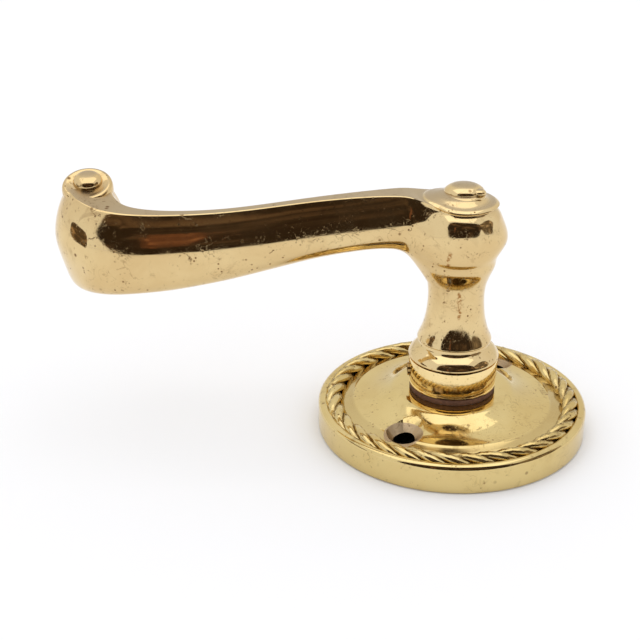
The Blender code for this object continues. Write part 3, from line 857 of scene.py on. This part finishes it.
@dataclass
class Lever:
    """The cast lever: head, neck and grip in one skin, with its foot, shank and scrolls."""

    sectors: int = 16
    patch: int = 4
    circle_gain: float = 1.0 / 0.9747
    neck: Outline = (
        (5.0, 20.75), (7.3, 20.8), (7.78, 20.95), (7.9, 21.25), (7.72, 21.7), (7.3, 22.6),
        (6.95, 23.5), (6.6, 24.7), (6.25, 26.4), (6.02, 28.4), (5.9, 30.4), (5.95, 32.2),
        (6.2, 33.9),
    )
    join: Outline = (
        (6.4, 34.5), (6.95, 36.1), (7.55, 37.4), (7.95, 38.6), (7.95, 39.8), (8.55, 41.1),
        (9.6, 42.6), (10.2, 44.2), (9.75, 46.2), (8.9, 48.1), (8.3, 49.7), (7.05, 50.95),
        (8.0, 51.5),
    )
    crown: Outline = (
        (7.45, 52.0), (6.3, 52.2), (5.3, 52.55), (4.4, 53.1), (3.0, 53.5), (1.2, 53.6),
    )
    flattened: tuple[float, ...] = (
        0.985, 0.972, 0.975, 0.987, 0.99, 1.0, 0.88, 0.858, 0.909, 0.96, 0.98, 0.93, 0.91,
        0.92, 0.94, 0.97, 1.0, 1.0, 1.0,
    )
    scoop: tuple[float, ...] = (
        1.0, 1.0, 1.0, 1.0, 1.0, 1.0, 0.98, 0.96, 0.95, 0.93, 0.91, 0.88, 0.88, 0.92, 0.97,
        1.0, 1.0, 1.0, 1.0,
    )
    lift: tuple[float, ...] = (
        0.0, 0.0, 0.0, 0.0, 0.0, 0.0, 0.0, 0.0, 0.0, 0.1, 0.3, 0.8, 1.1, 1.05, 1.0, 0.8, 0.4,
        0.1, 0.0,
    )
    soft_corner: int = 13
    stations: tuple[tuple[float, ...], ...] = (
        (-10.2, 1.0, 53.3, 13.6, 5.0, 2.9, 7.2, 2.0),
        (-12.0, 0.9, 53.45, 12.5, 4.9, 2.6, 7.4, 2.0),
        (-14.5, 0.7, 53.45, 12.0, 4.8, 2.2, 7.7, 2.0),
        (-18.5, 0.4, 53.3, 11.9, 4.6, 1.8, 8.0, 2.0),
        (-24.0, -0.05, 52.95, 12.2, 4.45, 1.4, 8.2, 2.0),
        (-30.0, -0.5, 52.4, 12.7, 4.3, 1.2, 8.4, 2.0),
        (-36.0, -0.95, 51.7, 13.5, 4.3, 1.1, 8.6, 2.05),
        (-42.0, -1.3, 50.95, 14.3, 4.3, 1.05, 8.7, 2.1),
        (-48.0, -1.5, 50.3, 15.2, 4.3, 1.0, 8.8, 2.2),
        (-54.0, -1.55, 49.9, 16.0, 4.45, 1.05, 9.0, 2.35),
        (-60.0, -1.4, 49.7, 16.9, 4.75, 1.2, 9.3, 2.6),
        (-65.0, -1.1, 49.75, 17.4, 5.3, 1.6, 9.6, 3.0),
        (-69.3, -0.4, 50.0, 18.1, 6.1, 2.2, 10.0, 3.8),
        (-72.5, 1.3, 50.4, 19.1, 7.0, 3.0, 10.3, 4.8),
        (-75.4, 4.1, 51.1, 20.4, 7.6, 4.0, 10.8, 7.5),
        (-76.9, 7.0, 51.9, 21.4, 8.0, 4.4, 11.3, 9.0),
        (-77.5, 9.6, 52.3, 21.9, 7.8, 4.2, 11.4, 9.0),
        (-77.6, 11.8, 52.3, 21.6, 6.8, 3.6, 11.0, 7.5),
        (-77.6, 12.9, 51.6, 20.2, 5.5, 2.8, 10.0, 4.6),
        (-77.6, 13.5, 50.2, 16.8, 3.6, 1.7, 8.0, 3.4),
    )
    narrowing: float = 0.085
    squarest: float = 6.2
    flank_steps: int = 4
    root: Point = (-7.0, 1.1)
    opening: Point = (34.0, 53.2)
    neck_edge: float = 21.25
    neck_crease: float = 0.4
    rim_crease: float = 0.85
    under_rim_crease: float = 0.4
    front_ridge_crease: float = 0.9
    back_ridge_crease: float = 0.7
    corner_crease: float = 0.6
    corner_points: int = 6
    detail: int = 3
    flange: Outline = (
        (0.0, 21.0), (7.1, 21.0), (7.16, 20.6), (7.2, 20.15), (7.32, 19.82), (7.5, 19.6),
        (7.68, 19.45), (7.86, 19.3), (8.2, 19.12), (8.6, 18.82), (9.0, 18.42), (9.35, 17.95),
        (9.58, 17.5), (9.68, 17.2), (9.62, 17.06), (9.45, 17.0),
    )
    shank: Outline = (
        (7.5, 17.0), (7.5, 2.4), (6.7, 2.4), (6.7, 1.2), (7.5, 1.2), (7.5, 0.9), (7.2, 0.6),
        (0.0, 0.6),
    )

    def build(self) -> bpy.types.Object:
        """Make the whole casting as one object."""
        skin = self.skin()
        skin.take_in([self.foot(), *HeadButton().build(), *TipScroll().build()])
        return skin.hand_over(
            LEVER_BRASS, Body.LEVER, Slot.POLISHED_BRASS, ("lever_casting",), smooth=50.0
        )

    def skin(self) -> Workpiece:
        """The smooth skin of the neck, head and grip."""
        skin = Workpiece("lever")
        rows = list(self.neck) + list(self.join) + list(self.crown)
        skin.turn([(radius * self.circle_gain, height) for radius, height in rows], self.sectors)
        self.open_side(skin)
        self.shape_head(skin)
        self.draw_grip(skin)
        self.cap_ends(skin)
        skin.face_out()
        self.crease(skin)
        skin.close()
        skin.modifier("SUBSURF", levels=self.detail, render_levels=self.detail)
        return skin

    def open_side(self, skin: Workpiece) -> None:
        """Take out the faces of the head where the grip springs from it."""
        low = self.join[0][1] - 0.01
        high = self.join[-1][1] + 0.01
        half = math.pi * self.patch / self.sectors
        bpy.context.tool_settings.mesh_select_mode = (False, False, True)
        bpy.ops.mesh.select_all(action="DESELECT")
        shape = skin.edit_mesh()
        for face in shape.faces:
            centre = face.calc_center_median()
            heights = [vertex.co.z for vertex in face.verts]
            off = abs(math.atan2(centre.y, -centre.x))
            face.select = off < half and min(heights) > low and max(heights) < high
        bmesh.update_edit_mesh(skin.obj.data)
        bpy.ops.mesh.delete(type="FACE")
        bpy.context.tool_settings.mesh_select_mode = (True, False, False)

    def head_place(self, row: int, sector: int, shaped: bool = True) -> Vector:
        """Where a vertex of the head's rows stands.

        Args:
            row: Its row, from the lowest one of the join to the last one of the crown.
            sector: Its place round the axis.
            shaped: Whether the head's own shape is worked in, or it is still plainly turned.

        Returns:
            Its place.
        """
        radius, height = (self.join + self.crown)[row]
        angle = math.tau * sector / self.sectors
        x = radius * self.circle_gain * math.cos(angle)
        y = radius * self.circle_gain * math.sin(angle)
        if shaped:
            if sector > self.sectors // 2:
                y *= self.flattened[row]
            if sector == (self.sectors + self.patch) // 2:
                x, y = x * self.scoop[row], y * self.scoop[row]
            height += self.lift[row] * max(0.0, -math.cos(angle)) ** 1.5
        return Vector((x, y, height))

    def shape_head(self, skin: Workpiece) -> None:
        """Flatten the head's front, hollow it by the grip and wind its rim up towards the grip."""
        for row in range(len(self.join) + len(self.crown)):
            for sector in range(self.sectors):
                before = self.head_place(row, sector, shaped=False)
                shift = self.head_place(row, sector) - before
                if shift.length < 0.001:
                    continue
                if skin.select_points(lambda place: (place - before).length < 0.01):
                    bpy.ops.transform.translate(value=shift)

    def section(self, station: Sequence[float]) -> list[tuple[float, float]]:
        """Outline of the grip's section as (out, height) pairs.

        It starts at the ridge's middle and runs down the front, under, and up the back.

        Args:
            station: x, y, top, depth, belly, ridge, widest and square.

        Returns:
            The outline's points.
        """
        depth, belly, ridge, widest, square = station[3:8]
        mids = len(self.join) - 1
        across = self.patch // 2
        swell = belly - ridge
        lean = 2.0 * math.atan2(swell, widest)
        half = [(ridge * k / across, 0.0) for k in range(across + 1)]
        for k in range(1, self.flank_steps + 1):
            phi = lean * (1.0 - k / self.flank_steps)
            out = ridge + swell * (math.cos(phi) - math.cos(lean)) / (1.0 - math.cos(lean))
            half.append((out, -widest * (math.sin(lean) - math.sin(phi)) / math.sin(lean)))
        under_steps = mids + across - self.flank_steps
        squeeze = self.narrowing * (min(square, self.squarest) - 2.0)
        for k in range(1, under_steps + 1):
            a = math.radians(90.0) * k / under_steps
            share = math.sin(a) ** (2.0 / square)
            out = belly * max(math.cos(a), 0.0) ** (2.0 / square) * (1.0 - squeeze * share)
            half.append((out, -widest - (depth - widest) * share))
        return half + [(-out, height) for out, height in reversed(half[1:-1])]

    def open_loop(self, skin: Workpiece, start: Vector) -> list[bmesh.types.BMVert]:
        """The selected open edge loop, from the vertex nearest a place, towards the front.

        Args:
            skin: The piece.
            start: The place.

        Returns:
            The loop's vertices in order.
        """
        shape = skin.edit_mesh()
        rim = [edge for edge in shape.edges if edge.select and len(edge.link_faces) < 2]
        near: dict[bmesh.types.BMVert, list[bmesh.types.BMVert]] = {}
        for edge in rim:
            a, b = edge.verts
            near.setdefault(a, []).append(b)
            near.setdefault(b, []).append(a)
        first = min(near, key=lambda vertex: (vertex.co - start).length)
        second = min(near[first], key=lambda vertex: vertex.co.y)
        loop = [first, second]
        while True:
            ahead = [vertex for vertex in near[loop[-1]] if vertex is not loop[-2]]
            if ahead[0] is first:
                return loop
            loop.append(ahead[0])

    def station_places(self, index: int) -> list[Vector]:
        """The places of a station's section, square to the grip's line.

        Args:
            index: Which station.

        Returns:
            Its places, from the ridge's middle down the front.
        """
        station = self.stations[index]
        places = [Vector(each[:2]) for each in self.stations]
        before = places[index - 1] if index else Vector(self.root)
        after = places[index + 1] if index + 1 < len(places) else places[index]
        ahead = (after - before).normalized()
        aside = Vector((-ahead.y, ahead.x))
        return [
            Vector((station[0] + aside.x * out, station[1] + aside.y * out, station[2] + drop))
            for out, drop in self.section(station)
        ]

    def draw_grip(self, skin: Workpiece) -> None:
        """Draw the open loop out along the grip, one station after another."""
        top = self.head_place(len(self.join) - 1, self.sectors // 2)
        bpy.context.tool_settings.mesh_select_mode = (False, True, False)
        bpy.ops.mesh.select_all(action="DESELECT")
        shape = skin.edit_mesh()
        for edge in shape.edges:
            middle = (edge.verts[0].co + edge.verts[1].co) / 2.0
            inside = middle.x < 0.0 and self.opening[0] < middle.z < self.opening[1]
            if len(edge.link_faces) == 1 and inside:
                edge.select = True
        bmesh.update_edit_mesh(skin.obj.data)
        for index in range(len(self.stations)):
            targets = self.station_places(index)
            bpy.ops.mesh.extrude_edges_move(TRANSFORM_OT_translate={"value": (0.0, 0.0, 0.0)})
            loop = self.open_loop(skin, top)
            places_now = [vertex.co.copy() for vertex in loop]
            indices = [vertex.index for vertex in loop]
            self.place_loop(skin, loop, places_now, targets)
            self.reselect(skin, indices)
            top = targets[0]
        bpy.context.tool_settings.mesh_select_mode = (True, False, False)

    def place_loop(
        self, skin: Workpiece, loop: Sequence[bmesh.types.BMVert], now: Sequence[Vector],
        targets: Sequence[Vector],
    ) -> None:
        """Move each vertex of a loop to its place.

        Args:
            skin: The piece.
            loop: The vertices.
            now: Where they are.
            targets: Where they go.
        """
        for vertex, here, there in zip(loop, now, targets):
            skin.select_only([vertex])
            bpy.ops.transform.translate(value=there - here)

    def reselect(self, skin: Workpiece, indices: Sequence[int]) -> None:
        """Select the loop of edges between the vertices with these indices."""
        shape = skin.edit_mesh()
        shape.verts.index_update()
        shape.verts.ensure_lookup_table()
        wanted = set(indices)
        for vertex in shape.verts:
            vertex.select = vertex.index in wanted
        for edge in shape.edges:
            edge.select = all(vertex.index in wanted for vertex in edge.verts) and (
                len(edge.link_faces) < 2
            )
        bmesh.update_edit_mesh(skin.obj.data)

    def cap_ends(self, skin: Workpiece) -> None:
        """Close the grip's far end, the crown and the neck's foot."""
        bpy.ops.mesh.select_all(action="DESELECT")
        bpy.context.tool_settings.mesh_select_mode = (False, True, False)
        shape = skin.edit_mesh()
        for edge in shape.edges:
            edge.select = len(edge.link_faces) == 1
        bmesh.update_edit_mesh(skin.obj.data)
        bpy.ops.mesh.edge_face_add()
        bpy.context.tool_settings.mesh_select_mode = (True, False, False)

    def crease(self, skin: Workpiece) -> None:
        """Sharpen the ridge's edges, the head's rim and the neck's lower edge."""
        shape = skin.edit_mesh()
        layer = shape.edges.layers.float.get("crease_edge")
        if layer is None:
            layer = shape.edges.layers.float.new("crease_edge")
        for edge in shape.edges:
            a, b = (vertex.co for vertex in edge.verts)
            if abs(a.z - b.z) < 0.02 and abs(a.z - self.neck_edge) < 0.05:
                edge[layer] = self.neck_crease
        first, last = (self.sectors + self.patch) // 2, (3 * self.sectors - self.patch) // 2
        rim = len(self.join) - 1
        turn = [sector % self.sectors for sector in range(first, last + 1)]
        for row, amount in ((rim, self.rim_crease), (rim - 1, self.under_rim_crease)):
            around = [self.head_place(row, sector) for sector in turn]
            self.crease_line(shape, layer, around, amount)
        across = self.patch // 2
        stations = [self.station_places(index) for index in range(len(self.stations))]
        front = [self.head_place(rim, first)] + [places[across] for places in stations]
        back = [self.head_place(rim, last)] + [places[-across] for places in stations]
        corner = stations[self.soft_corner][across:across + self.corner_points]
        self.crease_line(shape, layer, front, self.front_ridge_crease)
        self.crease_line(shape, layer, back, self.back_ridge_crease)
        self.crease_line(shape, layer, corner, self.corner_crease)
        bmesh.update_edit_mesh(skin.obj.data)

    def crease_line(
        self, shape: bmesh.types.BMesh, layer: object, places: Sequence[Vector], amount: float
    ) -> None:
        """Sharpen the edges along a line of places.

        Args:
            shape: The mesh.
            layer: The crease layer.
            places: The places in order.
            amount: How sharp, up to 1.
        """
        stops = [
            min(shape.verts, key=lambda vertex: (vertex.co - place).length) for place in places
        ]
        for start, end in zip(stops, stops[1:]):
            for edge in start.link_edges:
                if edge.other_vert(start) is end:
                    edge[layer] = amount

    def foot(self) -> Workpiece:
        """The turned foot, its flange and the shank with groove, flats, socket and screw hole."""
        foot = Workpiece("lever_foot")
        foot.turn(self.flange + self.shank, 128)
        foot.close()
        foot.cut(block("socket_cutter", (8.1, 8.1, 19.0), (0.0, 0.0, 8.5)))
        for side in (-1.0, 1.0):
            foot.cut(block(f"flat_cutter_{side:.0f}", (4.0, 20.0, 1.6), (side * 8.9, 0.0, 5.0)))
        foot.cut(side_hole("lever_grub_hole"))
        return foot


def side_hole(name: str) -> Workpiece:
    """A cutter for the grub screw's hole, along -X.

    Args:
        name: Its name.

    Returns:
        The cutting piece.
    """
    radius, inner, outer = GRUB_HOLE_RADIUS, 3.0, 12.0
    hole = Workpiece(name)
    hole.turn([(0.0, outer), (radius, outer), (radius, inner), (0.0, inner)], 40)
    bpy.ops.mesh.select_all(action="SELECT")
    bpy.ops.transform.rotate(
        value=math.radians(90.0), orient_axis="Y", center_override=(0.0, 0.0, 0.0)
    )
    hole.close()
    middle = sum((vertex.co.x for vertex in hole.obj.data.vertices)) / len(hole.obj.data.vertices)
    if middle > 0.0:
        bpy.ops.object.mode_set(mode="EDIT")
        bpy.ops.mesh.select_all(action="SELECT")
        bpy.ops.transform.rotate(
            value=math.radians(180.0), orient_axis="Z", center_override=(0.0, 0.0, 0.0)
        )
        bpy.ops.object.mode_set(mode="OBJECT")
    hole.move((0.0, 0.0, GRUB_HEIGHT))
    return hole


@dataclass
class HeadButton:
    """The button on top of the head: a ring, a dome that leans back and a lobe beside it."""

    ring_centre: Place = (0.6, 0.5, 0.0)
    ring: Outline = (
        (0.0, 53.7), (2.4, 53.7), (3.4, 53.65), (4.1, 53.5), (4.5, 53.1), (4.6, 52.7),
        (4.6, 51.8), (0.0, 51.6),
    )
    dome_centre: Place = (0.8, 1.5, 53.88)
    dome: Outline = (
        (0.0, 1.4), (1.5, 1.3), (2.8, 1.0), (3.8, 0.4), (4.3, -0.3), (4.25, -0.9),
        (3.5, -1.3), (0.0, -1.4),
    )
    lobe_centre: Place = (3.6, -0.9, 53.9)
    lobe: Outline = (
        (0.0, 0.85), (0.8, 0.75), (1.35, 0.4), (1.5, 0.0), (1.35, -0.5), (0.8, -0.9), (0.0, -1.0),
    )
    lean: float = 5.0

    def build(self) -> list[Workpiece]:
        """Make the ring at the button's foot, the dome that leans back on it and its lobe."""
        return [
            turned_boss("head_button_ring", self.ring, 64, 0.0, self.ring_centre),
            turned_boss("head_button_dome", self.dome, 48, self.lean, self.dome_centre),
            turned_boss("head_button_lobe", self.lobe, 32, self.lean, self.lobe_centre),
        ]


def turned_boss(
    name: str, profile: Outline, steps: int, lean: float, centre: Place
) -> Workpiece:
    """Turn a small boss, lean it over, set it in place and smooth it.

    Args:
        name: Its name.
        profile: Radius and height pairs.
        steps: Steps in the turn.
        lean: How far its front is tipped up, in degrees.
        centre: Where it goes.

    Returns:
        The closed piece.
    """
    boss = Workpiece(name)
    boss.turn(profile, steps)
    if lean:
        tip_over(boss, lean)
    boss.close()
    boss.move(centre)
    boss.modifier("SUBSURF", levels=1, render_levels=1)
    return boss


def tip_over(piece: Workpiece, degrees: float) -> None:
    """Tip an open piece about the X axis, its front up for a positive angle."""
    bpy.ops.mesh.select_all(action="SELECT")
    before = piece.edit_mesh()
    front = min(before.verts, key=lambda vertex: vertex.co.y)
    level, index = front.co.z, front.index
    bpy.ops.transform.rotate(
        value=math.radians(degrees), orient_axis="X", center_override=(0.0, 0.0, 0.0)
    )
    after = piece.edit_mesh()
    after.verts.ensure_lookup_table()
    if (after.verts[index].co.z - level) * degrees < 0.0:
        bpy.ops.transform.rotate(
            value=-2.0 * math.radians(degrees), orient_axis="X", center_override=(0.0, 0.0, 0.0)
        )


@dataclass
class TipScroll:
    """The rolled scroll at the grip's end with its button."""

    roll_centre: Place = (-77.35, 8.1, 52.5)
    roll: Outline = (
        (0.0, 0.0), (2.8, 0.0), (3.6, 0.06), (4.2, 0.3), (4.7, 0.36), (5.1, 0.12), (5.35, -0.5),
        (5.4, -1.6), (5.3, -3.0), (4.8, -6.0), (0.0, -6.0),
    )
    roll_tilt: float = 21.0
    button_centre: Place = (-77.3, 8.9, 52.75)
    button: Outline = (
        (0.0, 1.75), (1.2, 1.7), (2.1, 1.45), (2.75, 1.0), (3.05, 0.45), (3.1, -0.2),
        (3.3, -0.9), (3.6, -1.7), (3.9, -2.4), (0.0, -2.6),
    )
    button_tilt: float = 15.0

    def build(self) -> list[Workpiece]:
        """Make the roll that slopes to the front and the button on it."""
        return [
            turned_boss("tip_roll", self.roll, 72, -self.roll_tilt, self.roll_centre),
            turned_boss("tip_button", self.button, 48, -self.button_tilt, self.button_centre),
        ]


# --------------------------------------------------------------------------------------------
# The collar and its washer
# --------------------------------------------------------------------------------------------


@dataclass
class Collar:
    """The ring round the shank with its grub screw's hole, and the fibre washer under it."""

    bore: float = 7.8
    radius: float = 9.55
    bottom: float = 10.45
    top: float = 16.7
    taper: float = 0.28
    groove: float = 0.12
    washer: Outline = (
        (7.8, 10.34), (8.95, 10.34), (9.12, 10.26), (9.2, 10.05), (9.2, 9.3), (9.12, 9.14),
        (8.95, 9.11), (7.8, 9.11),
    )

    def outline(self) -> list[Point]:
        """The collar's outline, with a groove round its narrower foot."""
        foot = self.radius - self.taper
        hollow = foot - self.groove
        return [
            (self.bore, self.top), (self.radius - 0.25, self.top),
            (self.radius - 0.06, self.top - 0.06), (self.radius, self.top - 0.25),
            (foot, self.bottom + 0.62), (hollow, self.bottom + 0.54),
            (hollow, self.bottom + 0.42), (foot + 0.02, self.bottom + 0.34),
            (foot, self.bottom + 0.1), (hollow, self.bottom), (self.bore, self.bottom),
        ]

    def build(self) -> list[bpy.types.Object]:
        """Make the collar and the washer."""
        ring = Workpiece("collar")
        ring.turn(self.outline(), 192, closed=True)
        ring.close()
        ring.cut(side_hole("collar_grub_hole"))
        washer = Workpiece("washer")
        washer.turn(self.washer, 144, closed=True)
        washer.close()
        return [
            ring.hand_over(COLLAR_BRASS, Body.LEVER, Slot.POLISHED_BRASS, ("shank_collar",), 30.0),
            washer.hand_over(BROWN_FIBRE, Body.ROSE, Slot.BROWN_FIBRE, ("fibre_washer",), 40.0),
        ]


@dataclass
class InnerFittings:
    """The pieces inside the rose, which keep their solids and get their finishes."""

    nodes: dict[str, bpy.types.Object]
    finishes: dict[str, Finish] = field(
        default_factory=lambda: {
            "collar_grub_screw": SCREW_BRASS,
            "bearing_bush": NYLON,
            "thrust_washer": ZINC,
            "drive_plate": ZINC,
            "wave_washer": SPRING,
            "retaining_washer": ZINC,
            "circlip": BLACKED,
            "return_spring": SPRING,
            "spring_anchor_post": ZINC,
            "stop_pin_rest": ZINC,
            "stop_pin_full": ZINC,
            "backing_plate": ZINC,
            "backing_plate_screw_1": ZINC,
            "backing_plate_screw_2": ZINC,
            "backing_plate_screw_3": ZINC,
        }
    )

    def dress(self) -> None:
        """Give each piece its finish."""
        for name, finish in self.finishes.items():
            piece = self.nodes[name]
            if not piece.material_slots:
                piece.data.materials.append(None)
            for held in piece.material_slots:
                held.material = finish.material()
            LOG.info("%s: %s", name, finish.material().name)


# --------------------------------------------------------------------------------------------
# The studio
# --------------------------------------------------------------------------------------------


@dataclass
class Studio:
    """A pale floor, soft light, dark cards for the polish to mirror and the camera."""

    camera_place: Place = (-0.028664, -0.257479, 0.148331)
    camera_pitch: float = 64.387
    lens: float = 75.6
    cards: tuple[tuple[str, Place, Point, float, Colour], ...] = (
        ("card_front", (0.08, -0.50, 0.49), (1.24, 1.0), 0.0, (0.15, 0.095, 0.06)),
        ("card_right", (0.68, -0.25, 0.34), (0.62, 0.6), 90.0, (0.62, 0.47, 0.33)),
        ("card_warm", (-0.088, -0.27, 0.13), (0.02, 0.12), 0.0, (0.50, 0.22, 0.12)),
        ("card_side", (-0.17, -0.03, 0.05), (0.07, 0.032), 75.0, (0.45, 0.30, 0.18)),
    )
    card_corner: float = 0.36
    card_depth: float = 0.22
    sky_low: Colour = (0.86, 0.85, 0.82)
    sky_middle: Colour = (0.90, 0.88, 0.83)
    sky_high: Colour = (1.0, 1.0, 1.0)
    sky_front: Colour = (0.95, 0.96, 1.0)
    floor_colour: Colour = (0.93, 0.925, 0.92)
    floor_width: float = 8.0
    light_place: Place = (-0.1, 0.05, 1.3)
    light_size: Point = (1.6, 1.2)
    light_watts: float = 3.7

    def build(self) -> None:
        """Set up the studio."""
        self.world()
        self.floor()
        for name, place, size, turn, finish in self.cards:
            self.card(name, place, size, turn, finish)
        self.lights()
        self.camera()
        bpy.context.scene.view_settings.view_transform = "Standard"

    def world(self) -> None:
        """A soft sky that is greyer low down behind the object."""
        world = bpy.data.worlds.new("studio_sky")
        bpy.context.scene.world = world
        world.use_nodes = True
        tree = world.node_tree
        back = tree.nodes["Background"]
        place = tree.nodes.new("ShaderNodeTexCoord")
        split = tree.nodes.new("ShaderNodeSeparateXYZ")
        tree.links.new(place.outputs["Generated"], split.inputs["Vector"])
        behind = tree.nodes.new("ShaderNodeMapRange")
        behind.inputs["From Min"].default_value = 0.3
        behind.inputs["From Max"].default_value = 0.75
        tree.links.new(split.outputs["Y"], behind.inputs["Value"])
        ramp = tree.nodes.new("ShaderNodeValToRGB")
        ramp.color_ramp.interpolation = "EASE"
        first, last = ramp.color_ramp.elements
        first.position, first.color = 0.1, (*self.sky_low, 1.0)
        last.position, last.color = 0.8, (*self.sky_high, 1.0)
        middle = ramp.color_ramp.elements.new(0.45)
        middle.color = (*self.sky_middle, 1.0)
        tree.links.new(split.outputs["Z"], ramp.inputs["Fac"])
        mix = tree.nodes.new("ShaderNodeMix")
        mix.data_type = "RGBA"
        mix.inputs["A"].default_value = (*self.sky_front, 1.0)
        tree.links.new(behind.outputs["Result"], mix.inputs["Factor"])
        tree.links.new(ramp.outputs["Color"], mix.inputs["B"])
        tree.links.new(mix.outputs["Result"], back.inputs["Color"])
        back.inputs["Strength"].default_value = 1.0

    def floor(self) -> None:
        """A wide pale floor."""
        bpy.ops.object.select_all(action="DESELECT")
        bpy.ops.mesh.primitive_plane_add(size=self.floor_width, location=(0.0, 0.0, -0.0002))
        floor = bpy.context.object
        floor.name = "floor"
        graph = Graph("floor_white")
        graph.shader.inputs["Base Color"].default_value = (*self.floor_colour, 1.0)
        graph.shader.inputs["Roughness"].default_value = 0.9
        graph.shader.inputs["Specular IOR Level"].default_value = 0.1
        floor.data.materials.append(graph.material)

    def card(self, name: str, place: Place, size: Point, turn: float, finish: Colour) -> None:
        """A softly mottled card with round corners that only the polish sees.

        Args:
            name: Its name.
            place: Its centre.
            size: Its width and height.
            turn: Its turn about Z in degrees, 0 facing along Y.
            finish: The colour of its mottle.
        """
        bpy.ops.object.select_all(action="DESELECT")
        bpy.ops.mesh.primitive_plane_add(size=1.0, location=place)
        card = bpy.context.object
        card.name = name
        card.scale = (size[0], size[1], 1.0)
        card.rotation_euler = (math.radians(90.0), 0.0, math.radians(turn))
        bpy.ops.object.mode_set(mode="EDIT")
        bpy.ops.mesh.select_all(action="SELECT")
        bpy.ops.mesh.bevel(offset=self.card_corner, segments=10, affect="VERTICES")
        bpy.ops.object.mode_set(mode="OBJECT")
        graph = Graph(name)
        share = graph.ramp(graph.noise(4.0, 3.0, 0.55, distortion=0.8), 0.45, 0.7)
        colour = graph.mix(share, tuple(part * self.card_depth for part in finish), finish)
        graph.link(colour, graph.shader.inputs["Base Color"])
        graph.shader.inputs["Roughness"].default_value = 1.0
        graph.shader.inputs["Specular IOR Level"].default_value = 0.0
        card.data.materials.append(graph.material)
        card.visible_camera = False
        card.visible_diffuse = False
        card.visible_shadow = False

    def lights(self) -> None:
        """A broad soft light overhead that keeps the floor pale."""
        data = bpy.data.lights.new("overhead", "AREA")
        data.shape = "RECTANGLE"
        data.size, data.size_y = self.light_size
        data.energy = self.light_watts
        lamp = bpy.data.objects.new("overhead", data)
        lamp.location = self.light_place
        bpy.context.scene.collection.objects.link(lamp)

    def camera(self) -> None:
        """The camera, a little above the table in front."""
        data = bpy.data.cameras.new("camera")
        data.lens = self.lens
        data.sensor_width = 36.0
        data.clip_start = 0.01
        camera = bpy.data.objects.new("camera", data)
        camera.location = self.camera_place
        camera.rotation_euler = (math.radians(self.camera_pitch), 0.0, 0.0)
        bpy.context.scene.collection.objects.link(camera)
        bpy.context.scene.camera = camera


def main(frame: dict) -> None:
    """Build each sub-assembly, then the studio.
    """
    logging.basicConfig(level=logging.INFO, format="%(name)s: %(message)s")
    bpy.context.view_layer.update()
    Rose().build()
    Collar().build()
    Lever().build()
    InnerFittings(frame["nodes"]).dress()
    Studio().build()


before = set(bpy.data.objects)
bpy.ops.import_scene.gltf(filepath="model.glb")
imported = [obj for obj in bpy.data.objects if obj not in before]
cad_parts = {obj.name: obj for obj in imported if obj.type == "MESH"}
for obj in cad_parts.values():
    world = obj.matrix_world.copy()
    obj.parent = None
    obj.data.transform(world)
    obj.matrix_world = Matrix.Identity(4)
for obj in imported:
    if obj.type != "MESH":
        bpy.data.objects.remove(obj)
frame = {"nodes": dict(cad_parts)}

if __name__ == "__main__":
    main(frame)
